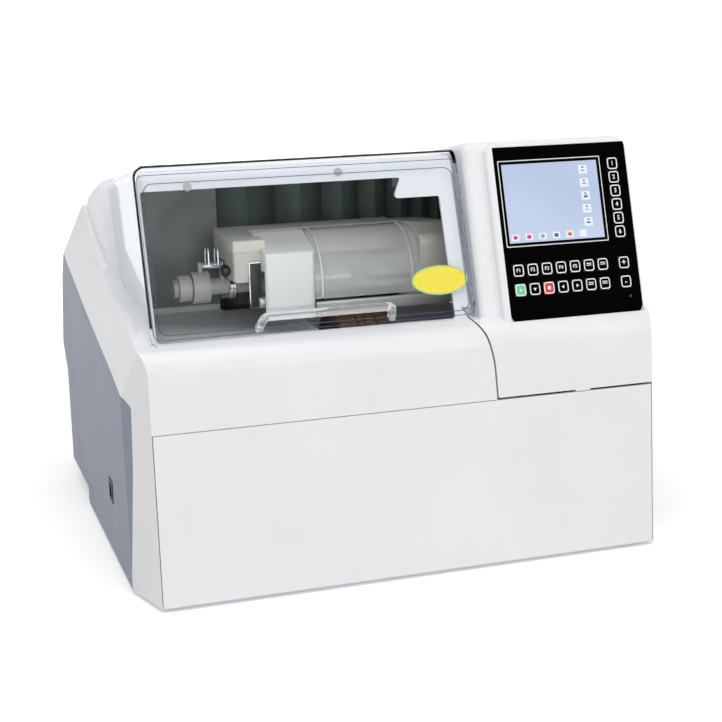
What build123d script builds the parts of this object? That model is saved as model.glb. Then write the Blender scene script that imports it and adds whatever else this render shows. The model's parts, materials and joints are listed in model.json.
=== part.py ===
from build123d import *
import os
from math import cos, hypot, radians, sin

# Bench-top optical lens edger: a grey base housing, white covers with a hood and a console, a clear
# hinged lid, a wet chamber with its grinding wheels, and a swinging, sliding head that chucks the lens.
# Frame: X to the right, Y to the back, Z up, origin on the bench under the middle of the machine.

os.makedirs("parts", exist_ok=True)

# ------------------------------------------------------------------ driving dimensions, in mm
WIDTH = 560.0
DEPTH = 510.0
SEAM_Z = 173.0             # height of the seam over the front cover
WALL = 3.0                 # covers and base housing
SEAM = 0.8                 # gap between neighbouring covers
CONSOLE_SEAM = 2.0         # wider gap under and beside the console
SKIRT_Z = 4.0              # lower edge of the covers
FLOOR_Z = 8.0              # underside of the base floor
TAIL_Z = 22.5              # underside of the raised rear part
LEAN = 10.0 / 169.0        # how far the front face leans back per mm of height
NOSE_R = 26.0              # bullnose over the front face
CORNER_IN = 18.0           # front corners in plan: how far they come in
CORNER_BACK = 60.0         # and how far back they reach

SHOULDER_LEFT = 20.0       # from the left side of the body to the hood
SHOULDER_RIGHT = 16.0      # from the console to the right side of the body
CONSOLE_WIDTH = 180.0
CONSOLE_EDGE = 8.0         # rounding along the console's sides
CONSOLE_RISE = 7.0         # how far the console stands above the lid

LID_WALL = 3.0
LID_FACE_RISE = 163.0
LID_FACE_RUN = 59.0
LID_TOP_RUN = 171.0
LID_TOP_DROP = 29.0
LID_GAP = 1.5              # lid to the covers round it
LID_BEND = 12.0            # outside radius along the lid's left edge
FLANGE = 14.0              # depth of the lid's flange in its slot beside the console
HANDLE_R = 4.4
HINGE_PIN_R = 2.5
KNUCKLE_R = 5.0

PANEL_WIDTH = 148.0        # black control panel
PANEL_HEIGHT = 181.4
PANEL_THICK = 1.5
TABLET_RISE = 7.0          # raised pad under the panel
TABLET_LEFT = 8.0          # how far the pad shows round the panel
TABLET_OTHER = 3.0
TABLET_BELOW = 7.0
PANEL_DOWN = 9.0           # from the console's top corner to the panel, down the slope
GROOVE_R = 10.0            # soft groove between the lid and the pad
GROOVE_DEPTH = 1.6
SCREEN_WIDTH = 112.0
SCREEN_HEIGHT = 86.4
KEY_WIDTH = 11.8
KEY_HEIGHT = 12.4
KEY_THICK = 2.6
KEY_PROUD = 0.7
KEY_GAP = 0.3
KEY_ROUND = 2.6
KEY_PITCH = 15.75          # along the two rows
KEY_STEP = 14.3            # down the column

FIT = 0.05                 # radial clearance of a shaft in its hole
CLEAR = 0.3                # gap at a seat
WHEEL_R = 50.0
WHEEL_WIDTH = 20.0
SPINDLE_R = 10.0
HOUSING_R = 26.0           # of the spindle's bearings
GUIDE_R = 10.0
SLEEVE_WALL = 6.0
QUILL_R = 10.0
CHUCK_SHAFT_R = 6.0
CUP_R = 9.0
SHIELD_R = 54.0
ARM_WIDTH = 22.0
ARM_HEIGHT = 26.0
TRAVERSE = 20.0            # the head slides this far each way
CLAMP_TRAVEL = 20.0
BELLOWS_PLEATS = 7
PLEAT_SHRINK = 0.8         # each pleat to the one on its left
MOTOR_R = 45.0
MOTOR_LENGTH = 145.0
SPINDLE_PULLEY_R = 22.0
MOTOR_PULLEY_R = 30.0
ROCKER_WIDTH = 13.0
ROCKER_HEIGHT = 16.0

# ------------------------------------------------------------------ places worked out from them
LEFT, RIGHT = -WIDTH / 2, WIDTH / 2
FRONT, REAR = -DEPTH / 2, DEPTH / 2
CONSOLE_X1 = RIGHT - SHOULDER_RIGHT
CONSOLE_X0 = CONSOLE_X1 - CONSOLE_WIDTH
SPLIT_X = CONSOLE_X0 - SEAM / 2
HOOD_X0 = LEFT + SHOULDER_LEFT
HOOD_X1 = CONSOLE_X0 - SEAM
SEAM_SIDE = WIDTH / 2 - CORNER_IN - 1

LID_FOOT = (FRONT + 42, SEAM_Z + 81)
LID_TOP = (LID_FOOT[0] + LID_FACE_RUN, LID_FOOT[1] + LID_FACE_RISE)
LID_REAR = (LID_TOP[0] + LID_TOP_RUN, LID_TOP[1] - LID_TOP_DROP)
LID_X0 = HOOD_X0 + 10
LID_X1 = CONSOLE_X0 - 4.5
CHEEK_X = LID_X0 + LID_WALL + 1
SLOT_X = LID_X1 - LID_WALL - LID_GAP
HINGE = (LID_REAR[0] + 7, LID_REAR[1] + 5.5)
SILL_Z = LID_FOOT[1] - 2

LENS = (FRONT + 177, LID_FOOT[1] + 26)
LENS_X = CONSOLE_X0 - 84
WHEEL = (LENS[0] - 5, LENS[1] - 83)
PIVOT = (LENS[0] + 170, LENS[1] - 44)
MOTOR = (WHEEL[0], WHEEL[1] - 132)
TUB_X0 = CHEEK_X + WALL + CLEAR
TUB_X1 = LENS_X + 141
TUB_Y0 = LID_FOOT[0] + 10
TUB_Y1 = LENS[0] + 111
WELL_X0 = LENS_X - 60
WELL_Z = WHEEL[1] - 76
TRAY_Z = LENS[1] - 46
BELLOWS_Z = TRAY_Z - 8
BELLOWS_X0 = LENS_X - 130
CHAMBER_TOP = LENS[1] + 98
ARM_X = (LENS_X - 106, LENS_X + 55)

SWITCH = (FRONT + 169, 75)
INLET = (LEFT + 80, 80)
VENT_X = (-60, 0)
BARB_X = (LENS_X + 60, LENS_X + 100)
BARB_Z = 60
FEET_X = WIDTH / 2 - 50
HINGE_X = (LEFT + 80, LENS_X + 30)
ARM_SLOT_Z = LENS[1] + 6
STACK_X = [LENS_X - 36 + WHEEL_WIDTH * 1.05 * index for index in range(4)]
MOTOR_X0 = LENS_X + 60
PEDESTAL_X = (LENS_X - 165, LENS_X + 150)
FEELER_X = LENS_X - 163
FEELER_AXIS = (LENS[0], LENS[1] + 22)

CONSOLE_LOW = (FRONT + 33.2, SEAM_Z + 59)
CONSOLE_HIGH = (FRONT + 91, LID_TOP[1] + CONSOLE_RISE)
CONSOLE_RUN = CONSOLE_HIGH[0] - CONSOLE_LOW[0]
CONSOLE_CLIMB = CONSOLE_HIGH[1] - CONSOLE_LOW[1]
CONSOLE_LENGTH = hypot(CONSOLE_RUN, CONSOLE_CLIMB)
PANEL_NORMAL = (0, -CONSOLE_CLIMB / CONSOLE_LENGTH, CONSOLE_RUN / CONSOLE_LENGTH)
PANEL_X0 = CONSOLE_X0 + 29
PANEL_TOP = (
    CONSOLE_HIGH[0] + TABLET_RISE * PANEL_NORMAL[1] - PANEL_DOWN * PANEL_NORMAL[2],
    CONSOLE_HIGH[1] + TABLET_RISE * PANEL_NORMAL[2] + PANEL_DOWN * PANEL_NORMAL[1],
)
SCREEN_AT = (5 + SCREEN_WIDTH / 2, 15 + SCREEN_HEIGHT / 2)
KEY_COLUMN_X = PANEL_WIDTH - 16
KEY_ROWS = (126.7, 146.6)


# ------------------------------------------------------------------ helpers
def inset(outline, depths):
    """Move the edges of a clockwise outline of (u, v, radius) points inwards, each by its own depth."""
    count = len(outline)
    if not isinstance(depths, (list, tuple)):
        depths = [depths] * count
    lines = []
    for index in range(count):
        u0, v0 = outline[index][:2]
        u1, v1 = outline[(index + 1) % count][:2]
        length = hypot(u1 - u0, v1 - v0)
        du, dv = (u1 - u0) / length, (v1 - v0) / length
        lines.append((u0 + dv * depths[index], v0 - du * depths[index], du, dv))
    corners = []
    for index in range(count):
        u0, v0, du0, dv0 = lines[index - 1]
        u1, v1, du1, dv1 = lines[index]
        turn = du0 * dv1 - dv0 * du1
        step = ((u1 - u0) * dv1 - (v1 - v0) * du1) / turn
        radius = outline[index][2] if len(outline[index]) > 2 else 0
        if radius:
            depth = (depths[index - 1] + depths[index]) / 2
            radius = max(0, radius - depth if turn < 0 else radius + depth)
        corners.append((u0 + du0 * step, v0 + dv0 * step, radius))
    return corners


def wire_of(outline):
    points = [point[:2] for point in outline]
    radii = [point[2] if len(point) > 2 else 0 for point in outline]
    if any(radii):
        return FilletPolyline(*points, radius=radii, close=True)
    return Polyline(*points, close=True)


def prism_x(outline, x0, x1):
    """Solid between two X planes from a (y, z, radius) outline."""
    face = make_face(Plane.YZ.offset(x0) * wire_of(outline))
    return extrude(face, amount=x1 - x0, dir=(1, 0, 0))


def prism_y(outline, y0, y1):
    """Solid between two Y planes from an (x, z, radius) outline."""
    plane = Plane(origin=(0, y0, 0), x_dir=(1, 0, 0), z_dir=(0, -1, 0))
    face = make_face(plane * wire_of(outline))
    return extrude(face, amount=y1 - y0, dir=(0, 1, 0))


def prism_z(outline, z0, z1):
    """Solid between two Z planes from an (x, y, radius) outline."""
    face = make_face(Plane.XY.offset(z0) * wire_of(outline))
    return extrude(face, amount=z1 - z0, dir=(0, 0, 1))


def block(x0, x1, y0, y1, z0, z1):
    centre = ((x0 + x1) / 2, (y0 + y1) / 2, (z0 + z1) / 2)
    return Pos(*centre) * Box(x1 - x0, y1 - y0, z1 - z0)


def rod_x(radius, x0, x1, centre):
    return Pos((x0 + x1) / 2, *centre) * Rot(0, 90, 0) * Cylinder(radius, x1 - x0)


def rod_y(radius, y0, y1, x, z):
    return Pos(x, (y0 + y1) / 2, z) * Rot(90, 0, 0) * Cylinder(radius, y1 - y0)


def rod_z(radius, z0, z1, x, y):
    return Pos(x, y, (z0 + z1) / 2) * Cylinder(radius, z1 - z0)


def tube_x(outer, inner, x0, x1, centre):
    return rod_x(outer, x0, x1, centre) - rod_x(inner, x0 - 1, x1 + 1, centre)


def along(a, b, share):
    return a[0] + (b[0] - a[0]) * share, a[1] + (b[1] - a[1]) * share


def write(shape, name):
    export_step(shape, f"parts/{name}.step")


# ------------------------------------------------------------------ outlines of the body
def body_outline():
    nose_z = SEAM_Z + 71.3
    return [
        (FRONT, SKIRT_Z),
        (FRONT + (nose_z - SKIRT_Z) * LEAN, nose_z, NOSE_R),
        (FRONT + 242, LID_FOOT[1] + 46),
        (REAR - 125, LID_FOOT[1] + 95, 10),
        (REAR - 61, LID_FOOT[1] + 30, 30),
        (REAR - 36, LID_FOOT[1] - 2, 60),
        (REAR, SEAM_Z - 9, 4),
        (REAR - 28, SEAM_Z - 39, 8),
        (REAR - 28, SKIRT_Z),
    ]


def plan_outline():
    return [
        (LEFT, REAR + 90),
        (RIGHT, REAR + 90),
        (RIGHT, FRONT + CORNER_BACK),
        (RIGHT - CORNER_IN, FRONT),
        (LEFT + CORNER_IN, FRONT),
        (LEFT, FRONT + CORNER_BACK),
    ]


def body_solid(depth, drop):
    """The wide body, its walls drawn in by depth and its lower edge let down by drop."""
    outline = inset(body_outline(), [depth] * 8 + [-drop])
    solid = prism_x(outline, LEFT + depth, RIGHT - depth)
    plan = make_face(Plane.XY.offset(SKIRT_Z - drop) * wire_of(inset(plan_outline(), depth)))
    solid = solid & extrude(plan, amount=WIDTH + DEPTH, dir=(0, LEAN, 1))
    for side in (-1, 1):
        lean_in = Vector(64 * side, -3.11, 14).normalized()
        crease = Vector(side * WIDTH / 2, FRONT + 62, SEAM_Z + 24) - lean_in * depth
        solid = split(solid, bisect_by=Plane(origin=crease, z_dir=lean_in), keep=Keep.BOTTOM)
    return solid


def base_region():
    """Side view of the grey housing; the white covers take the rest."""
    return [
        (FRONT + 67, SKIRT_Z - 40),
        (FRONT + 51, SEAM_Z - 43, 40),
        (FRONT + 50, SEAM_Z + 19, 3),
        (FRONT + 62, SEAM_Z + 24, 10),
        (FRONT + 136, SEAM_Z + 41),
        (FRONT + 293, SEAM_Z + 73),
        (REAR - 61, LID_FOOT[1] + 29),
        (REAR + 60, LID_FOOT[1] + 40),
        (REAR + 60, SKIRT_Z - 40),
    ]


def console_region():
    """Front view of what belongs to the console: a curved split in the band, straight above it."""
    return [
        (SPLIT_X, LID_TOP[1] + 300),
        (WIDTH, LID_TOP[1] + 300),
        (WIDTH, -60),
        (SPLIT_X + 5, -60),
        (SPLIT_X + 5, SEAM_Z),
        (SPLIT_X + 2.4, SEAM_Z + 39, 80),
        (SPLIT_X - 4.6, SEAM_Z + 67, 40),
        (SPLIT_X - 17.6, SEAM_Z + 89),
        (SPLIT_X, SEAM_Z + 89),
    ]


def lid_outline():
    """Side view of the lid's left wall."""
    return [
        LID_FOOT,
        (*LID_TOP, LID_BEND + 2),
        LID_REAR,
        (LID_REAR[0] - 44, LID_REAR[1] - 100, 6),
        (LID_REAR[0] - 62, LID_REAR[1] - 103),
        (LID_FOOT[0] + 31, LID_FOOT[1] + 8, 10),
        (LID_FOOT[0] + 11, LID_FOOT[1] - 3, 5),
    ]


def frame_corners(depth):
    """Foot, top and rear corner of the hood's frame plane, which lies behind the lid."""
    low = (LID_REAR[0], LID_FOOT[1] - 60)
    corners = inset([LID_FOOT, LID_TOP, LID_REAR, low], [depth, depth, 0, 0])
    return [corner[:2] for corner in corners[:3]]


def hood_outline():
    foot, top, rear = frame_corners(4.5)
    low = along(top, foot, 1.08)
    return [
        low,
        (*top, 16),
        (rear[0] + 1, rear[1] - 0.2),
        (LID_REAR[0] + 1.5, LID_REAR[1] - 0.3),
        (LID_REAR[0] + 11, LID_REAR[1] - 2),
        (LID_REAR[0] + 67, LID_REAR[1] - 15),
        (REAR - 140, LID_FOOT[1] + 109, 14),
        (REAR - 125, LID_FOOT[1] + 95),
        (REAR - 126, LID_FOOT[1] + 80),
        (FRONT + 247, LID_FOOT[1] + 26),
    ]


def console_outline():
    return [
        CONSOLE_LOW,
        (*CONSOLE_HIGH, 12),
        (LID_REAR[0] + 11, LID_REAR[1] + 4),
        (LID_REAR[0] + 67, LID_REAR[1] - 9),
        (REAR - 140, LID_FOOT[1] + 114, 14),
        (REAR - 124, LID_FOOT[1] + 96),
        (REAR - 126, LID_FOOT[1] + 80),
        (FRONT + 247, LID_FOOT[1] + 26),
    ]


def panel_plane():
    """On the face of the control panel, at its upper left corner; local Y runs up the slope."""
    return Plane(origin=(PANEL_X0, *PANEL_TOP), x_dir=(1, 0, 0), z_dir=PANEL_NORMAL)




def on_panel(x, down, width, height, low, high):
    """Box on the panel: centre from the panel's left and top edges, and from low to high off its face."""
    centre = Pos(x, -down, (low + high) / 2)
    return panel_plane() * centre * Box(width, height, high - low)




def key_places():
    """Name and centre of each key, from the panel's left and top edges."""
    places = {}
    for number in range(6):
        places[f"key_side_{number + 1}"] = (KEY_COLUMN_X, 22.6 + KEY_STEP * number)
    for row, down in zip(("upper", "lower"), KEY_ROWS):
        for number in range(7):
            places[f"key_{row}_{number + 1}"] = (13.3 + KEY_PITCH * number, down)
    places["key_plus"] = (KEY_COLUMN_X, KEY_ROWS[0])
    places["key_minus"] = (KEY_COLUMN_X, KEY_ROWS[1])
    return places


# ------------------------------------------------------------------ covers
def lid_rebate(extra):
    """Space at the left cheek for the lid's side wall; extra adds the cover's wall round it."""
    outline = inset(lid_outline(), [-90, -70, -LID_GAP - extra] + [-4 - extra] * 4)
    face = make_face(Plane.YZ.offset(CHEEK_X + extra) * wire_of([point[:2] for point in outline]))
    return extrude(face, amount=SHOULDER_LEFT * 2.5, dir=(-1, 0, 0.3))


def lid_slot(extra):
    """Slot beside the console for the lid's right flange; extra adds the cover's wall round it."""
    foot, top, rear = frame_corners(4.5 + FLANGE + 6 + extra)
    low = SILL_Z - 1.5 - extra
    outline = [
        (LID_FOOT[0] - 60, low),
        (LID_FOOT[0] - 60, LID_TOP[1] + 60),
        (LID_REAR[0] + 1 + extra, LID_TOP[1] + 60),
        (LID_REAR[0] + 1 + extra, rear[1] - 0.2),
        top,
        (foot[0], low),
    ]
    return prism_x(outline, SLOT_X - extra, HOOD_X1 + 1 + extra)


def chamber_window():
    """Cut that joins the hood and the console round the wet chamber."""
    foot, top, rear = frame_corners(4.5 + FLANGE + 10 + WALL)
    low = along(top, foot, 1.06)
    back = LENS[0] + 118
    outline = [
        low,
        (*top, 8),
        (LID_REAR[0] + 5, rear[1]),
        (LID_REAR[0] + 6, CHAMBER_TOP + 2),
        (back, CHAMBER_TOP + 2),
        (back, low[1]),
    ]
    return prism_x(outline, HOOD_X1 - WALL - 1, CONSOLE_X0 + WALL + 1)


def chamber_opening():
    """Front view of the opening that the lid covers, from the lid's left edge to the jamb by its slot."""
    left = CHEEK_X + 1
    right = SLOT_X - WALL - 14
    upper = LID_TOP[1] - 25.5
    outline = [
        (left, SILL_Z, 2),
        (left, upper, 3),
        (LENS_X + 19, upper, 2),
        (LENS_X + 9, upper - 20, 3),
        (right, upper - 20, 2),
        (right, SILL_Z, 3),
    ]
    return prism_y(outline, LID_FOOT[0] - 8, LID_TOP[0] + 14)


def lid_corner():
    """What the frame behind the lid gives up so that its left edge follows the lid's bend."""
    room = inset(lid_outline(), [LID_WALL + LID_GAP] * 2 + [-30] * 5)
    room = [corner if index == 1 else corner[:2] for index, corner in enumerate(room)]
    room = rounded_lid(room, CHEEK_X, CHEEK_X + 60, LID_BEND - LID_WALL - 1)
    slab = None
    for growth, inwards, low, high in ((4, 20, 1, LID_FACE_RISE + 40), (0, 2.5, -2.5, 1)):
        grown = inset(lid_outline(), [-growth] * 2 + [0] * 5)
        piece = prism_x([corner[:2] for corner in grown], LID_X0 - 1, CHEEK_X + inwards)
        limits = (LID_X0 - 2, CHEEK_X + 30, FRONT, LID_REAR[0] - 0.5, LID_FOOT[1] + low, LID_FOOT[1] + high)
        piece = piece & block(*limits)
        slab = piece if slab is None else slab + piece
    return slab - room


def hood_solid(depth):
    lower = -40 if depth else 0
    outline = inset(hood_outline(), [depth] * 7 + [depth, lower, lower])
    solid = prism_x(outline, HOOD_X0 + depth, HOOD_X1 - depth)
    edges = solid.faces().sort_by(Axis.X)[0].edges()
    behind = [edge for edge in edges if edge.center().Y > LID_REAR[0] + 4 and edge.center().Z > LID_REAR[1] - 34]
    return fillet(behind, 14 - depth)


def console_solid(depth):
    lower = -40 if depth else 0
    outline = inset(console_outline(), [depth] * 6 + [lower, lower])
    solid = prism_x(outline, CONSOLE_X0 + depth, CONSOLE_X1 - depth)
    edges = solid.faces().sort_by(Axis.X)[0].edges() + solid.faces().sort_by(Axis.X)[-1].edges()
    return fillet([edge for edge in edges if edge.center().Z > LID_FOOT[1] + 50], CONSOLE_EDGE - depth)


def tablet_solid():
    width = PANEL_WIDTH + TABLET_LEFT + TABLET_OTHER
    height = PANEL_HEIGHT + TABLET_BELOW + TABLET_OTHER * 2
    sunk = 4.0
    pad = Box(width, height, TABLET_RISE + sunk)
    pad = fillet(pad.edges().filter_by(Axis.Z), 14)
    pad = fillet(pad.faces().sort_by(Axis.Z)[-1].edges(), 3)
    x = (PANEL_WIDTH + TABLET_OTHER - TABLET_LEFT) / 2
    y = TABLET_OTHER * 2 - height / 2
    return panel_plane() * Pos(x, y, -(TABLET_RISE + sunk) / 2) * pad


def panel_pockets():
    """Recess for the panel, with pockets below it for the screen and the keys."""
    cut = on_panel(PANEL_WIDTH / 2, PANEL_HEIGHT / 2, PANEL_WIDTH + SEAM, PANEL_HEIGHT + SEAM, -PANEL_THICK, 2)
    cut += on_panel(*SCREEN_AT, SCREEN_WIDTH + 1, SCREEN_HEIGHT + 1, -PANEL_THICK - 2, 0)
    for x, down in key_places().values():
        cut += on_panel(x, down, KEY_WIDTH + 2 * KEY_GAP, KEY_HEIGHT + 2 * KEY_GAP, -KEY_THICK - 0.4, 0)
    return cut


def groove_rod():
    """Rod with a round end, down the console's slope, that leaves the soft groove beside the pad."""
    upper, lower = 60, 16 - PANEL_HEIGHT
    place = panel_plane() * Pos(-TABLET_LEFT - 9, lower, GROOVE_R - GROOVE_DEPTH - TABLET_RISE)
    rod = Pos(0, (upper - lower) / 2, 0) * Rot(90, 0, 0) * Cylinder(GROOVE_R, upper - lower)
    return place * (rod + Sphere(GROOVE_R))


def console_cut():
    """Front view of the gap below the console, closed for a short way by a tab."""
    low, high = SEAM_Z + SEAM / 2, SEAM_Z + CONSOLE_SEAM
    cut = block(-SEAM_SIDE - SEAM, SEAM_SIDE + SEAM, FRONT - 60, FRONT + 70, -60, high)
    return cut - block(CONSOLE_X0 + 91, CONSOLE_X0 + 107, FRONT - 60, FRONT + 70, low, high)


def make_covers():
    body = body_solid(0, 0)
    hollow = body_solid(WALL, 20)
    grown = inset(base_region(), -SEAM / 2)
    not_white = prism_x(grown, LEFT - 60, RIGHT + 60)
    band_cut = block(-SEAM_SIDE - SEAM, SEAM_SIDE + SEAM, FRONT - 60, FRONT + 70, -60, SEAM_Z + SEAM / 2)

    hood_hollow = (hollow + hood_solid(WALL)) - lid_rebate(WALL) - lid_slot(WALL)
    top = (body + hood_solid(0)) - lid_rebate(0) - lid_slot(0) - hood_hollow
    top = top - prism_y(inset(console_region(), -SEAM / 2), FRONT - 60, REAR + 60)
    top = top - not_white - band_cut - chamber_opening() - chamber_window() - lid_corner()
    write(top, "top_cover")

    region = prism_y(inset(console_region(), CONSOLE_SEAM - SEAM / 2), FRONT - 60, REAR + 60)
    console = (body & region) + console_solid(0) + tablet_solid()
    console = console - ((hollow + console_solid(WALL)) - lid_slot(WALL)) - lid_slot(0)
    console = console - not_white - console_cut() - chamber_window() - panel_pockets() - groove_rod()
    write(console, "console_cover")

    face_box = block(-SEAM_SIDE, SEAM_SIDE, FRONT - 60, FRONT + 40, -60, SEAM_Z - SEAM / 2)
    write((body - hollow) & face_box, "front_cover")


# ------------------------------------------------------------------ base housing and what stands on it
def switch_opening(extra):
    half_width = ROCKER_WIDTH / 2 + extra
    half_height = ROCKER_HEIGHT / 2 + extra
    y, z = SWITCH
    return y - half_width, y + half_width, z - half_height, z + half_height


def make_base():
    floor_top = FLOOR_Z + WALL
    step_y = REAR - 155
    shell = body_solid(0, 0) - body_solid(WALL, 20)
    shell = shell & prism_x(inset(base_region(), SEAM / 2), LEFT - 60, RIGHT + 60)
    room = body_solid(WALL, 20)
    floor = block(LEFT, RIGHT, FRONT + 65, step_y, FLOOR_Z, floor_top)
    floor += block(LEFT, RIGHT, step_y - WALL, REAR, TAIL_Z, TAIL_Z + WALL)
    floor += block(LEFT, RIGHT, step_y - WALL, step_y, SKIRT_Z, TAIL_Z + WALL)
    base = shell - block(LEFT - 5, RIGHT + 5, step_y, REAR + 60, -60, TAIL_Z)
    base += floor & room
    base += block(-SEAM_SIDE + 12, SEAM_SIDE - 12, FRONT + 8, FRONT + 66, FLOOR_Z, floor_top)
    for x, y, top in post_places():
        base += rod_z(8, floor_top - 1, top - CLEAR, x, y)
    for x in VENT_X:
        for row in range(7):
            z = TAIL_Z + 40 + row * 9
            base -= block(x - 24, x + 24, REAR - 40, REAR - 20, z, z + 4)
    base -= block(LEFT - 5, LEFT + 6, *switch_opening(2))
    base -= block(INLET[0] - 14, INLET[0] + 14, REAR - 34, REAR - 20, INLET[1] - 12, INLET[1] + 12)
    for x in BARB_X:
        base -= rod_y(6.3, REAR - 40, REAR - 20, x, BARB_Z)
    write(base, "base_housing")


def post_places():
    """Bosses from the floor to the underside of the tub."""
    places = [(WELL_X0 + 15, TUB_Y0 + 16, WELL_Z - WALL), (WELL_X0 + 15, TUB_Y1 - 16, WELL_Z - WALL)]
    places += [(TUB_X1 - 14, TUB_Y0 + 16, WELL_Z - WALL), (TUB_X1 - 14, TUB_Y1 - 16, WELL_Z - WALL)]
    places += [(TUB_X0 + 18, TUB_Y0 + 16, TRAY_Z - WALL), (TUB_X0 + 18, TUB_Y1 - 16, TRAY_Z - WALL)]
    return places




def make_switch():
    y0, y1, z0, z1 = switch_opening(2)
    frame = block(LEFT - 1, LEFT, y0 - 2, y1 + 2, z0 - 2, z1 + 2)
    frame += block(LEFT - 1, LEFT + 16, y0 + 0.2, y1 - 0.2, z0 + 0.2, z1 - 0.2)
    hole = switch_opening(0.4)
    frame -= block(LEFT - 3, LEFT + 13, *hole)
    y, z = SWITCH
    frame += rod_y(1.5, y0 + 1, y1 - 1, LEFT + 4, z)
    write(frame, "switch_housing")

    half = ROCKER_HEIGHT / 2
    outline = [
        (LEFT + 10, z - half + 4),
        (LEFT + 1, z - half + 1, 2),
        (LEFT + 1.5, z, half * 1.5),
        (LEFT - 1.5, z + half - 1, 2),
        (LEFT + 10, z + half - 4),
    ]
    rocker = prism_y(outline, y - ROCKER_WIDTH / 2, y + ROCKER_WIDTH / 2)
    rocker -= rod_y(1.5 + FIT, y - 30, y + 30, LEFT + 4, z)
    write(rocker, "power_rocker")


def make_feet():
    feet = []
    for side in (-1, 1):
        for y, top, radius in ((FRONT + 30, FLOOR_Z, 14), (FRONT + 330, FLOOR_Z, 14), (REAR - 65, TAIL_Z, 14)):
            foot = Cone(radius - 2, radius, top, align=(Align.CENTER, Align.CENTER, Align.MIN))
            foot = fillet(foot.edges().sort_by(Axis.Z)[0], 1)
            feet.append(Pos(side * FEET_X, y, 0) * foot)
    write(Compound(feet), "rubber_feet")


def make_rear_fittings():
    x, z = INLET
    wall = REAR - 28
    inlet = block(x - 13.7, x + 13.7, wall - 24, wall + 1, z - 11.7, z + 11.7)
    flange = block(x - 25, x + 25, wall + 0.1, wall + 3, z - 14, z + 14)
    inlet += fillet(flange.edges().filter_by(Axis.Y), 4)
    cavity = block(x - 12, x + 12, wall - 17, wall + 5, z - 8, z + 8)
    inlet -= fillet(cavity.edges().filter_by(Axis.Y), 3)
    for step in (-7, 0, 7):
        inlet += block(x + step - 1, x + step + 1, wall - 18, wall - 1, z - 3, z + 3)
    write(inlet, "power_inlet")

    barbs = []
    for x in BARB_X:
        barb = rod_y(6.2, wall - 8, wall + 1, x, BARB_Z)
        barb += rod_y(9, wall + 0.1, wall + 5, x, BARB_Z)
        for ring in range(3):
            cone = Cone(6.5, 5, 7)
            barb += Pos(x, wall + 8.5 + ring * 7, BARB_Z) * Rot(-90, 0, 0) * cone
        barb -= rod_y(3.2, wall - 9, wall + 40, x, BARB_Z)
        barbs.append(barb)
    write(Compound(barbs), "hose_barbs")

    screws = []
    places = [(side * (WIDTH / 2 - 24), z) for side in (-1, 1) for z in (TAIL_Z + 16, SEAM_Z - 54)]
    for x, z in places:
        screw = rod_y(4, wall + 0.1, wall + 2.4, x, z)
        screw = fillet(screw.edges().sort_by(Axis.Y)[-1], 1.2)
        screws.append(screw)
    write(Compound(screws), "cover_screws")


# ------------------------------------------------------------------ clear lid
def lid_plane():
    normal = (0, -LID_FACE_RISE, LID_FACE_RUN)
    return Plane(origin=(0, *LID_FOOT), x_dir=(1, 0, 0), z_dir=normal)


def rounded_lid(outline, x0, x1, radius):
    """Prism of a side view whose left edges along the face and the top are rounded."""
    solid = prism_x(outline, x0, x1)
    edges = solid.faces().sort_by(Axis.X)[0].edges()
    upper = [edge for edge in edges if edge.center().Z > LID_FOOT[1] + 45 and edge.center().Y < LID_REAR[0] - 30]
    return fillet(upper, radius)


def make_lid():
    shell = rounded_lid(lid_outline(), LID_X0, LID_X1, LID_BEND)
    hollow = inset(lid_outline(), [LID_WALL, LID_WALL] + [-30] * 5)
    hollow = [corner if index == 1 else corner[:2] for index, corner in enumerate(hollow)]
    hollow = rounded_lid(hollow, LID_X0 + LID_WALL, LID_X1 - LID_WALL, LID_BEND - LID_WALL)
    flange_cut = prism_x(flange_inner(), LID_X1 - LID_WALL - 1, LID_X1 + 1)
    shell = shell - hollow - flange_cut
    for x in HINGE_X:
        shell += rod_x(KNUCKLE_R, x - 9, x + 9, HINGE)
        web = [
            (LID_REAR[0] - 14, LID_REAR[1] + 1),
            (LID_REAR[0] + 2, LID_REAR[1] + 8),
            (HINGE[0], HINGE[1] + KNUCKLE_R - 0.2),
            (HINGE[0], HINGE[1] - 1),
            (LID_REAR[0] - 2, LID_REAR[1] - 1.5),
        ]
        shell += prism_x(web, x - 9, x + 9)
        shell -= rod_x(HINGE_PIN_R + FIT, x - 20, x + 20, HINGE)
    write(shell, "lid_shell")


def flange_inner():
    """Inside edge of the lid's right flange."""
    foot, top, rear = frame_corners(FLANGE)
    low = along(top, foot, 1.3)
    return [low, (*top, 6), (rear[0] + 20, rear[1] - 3.4), (rear[0] + 20, low[1])]




def make_handle():
    outward = 15
    up = 15
    x0, x1 = LENS_X - 147, LENS_X - 10
    path = FilletPolyline((x0, 5, -4), (x0 + 4, up, outward), (x1 - 4, up, outward), (x1, 5, -4), radius=6)
    bar = sweep(Plane(origin=path @ 0, z_dir=path % 0) * Circle(HANDLE_R), path=path)
    bar -= block(x0 - 20, x1 + 20, -40, 60, -30, 0)
    write(lid_plane() * bar, "lid_handle")


def hood_top(y):
    """Height just over the hood's top behind the lid."""
    near, crest, far = LID_REAR[0] + 1.5, LID_REAR[0] + 11, LID_REAR[0] + 67
    if y < crest:
        return LID_REAR[1] - 0.3 - (y - near) / (crest - near) * 1.7 + 0.1
    return LID_REAR[1] - 2 - (y - crest) / (far - crest) * 13 + 0.1


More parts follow.
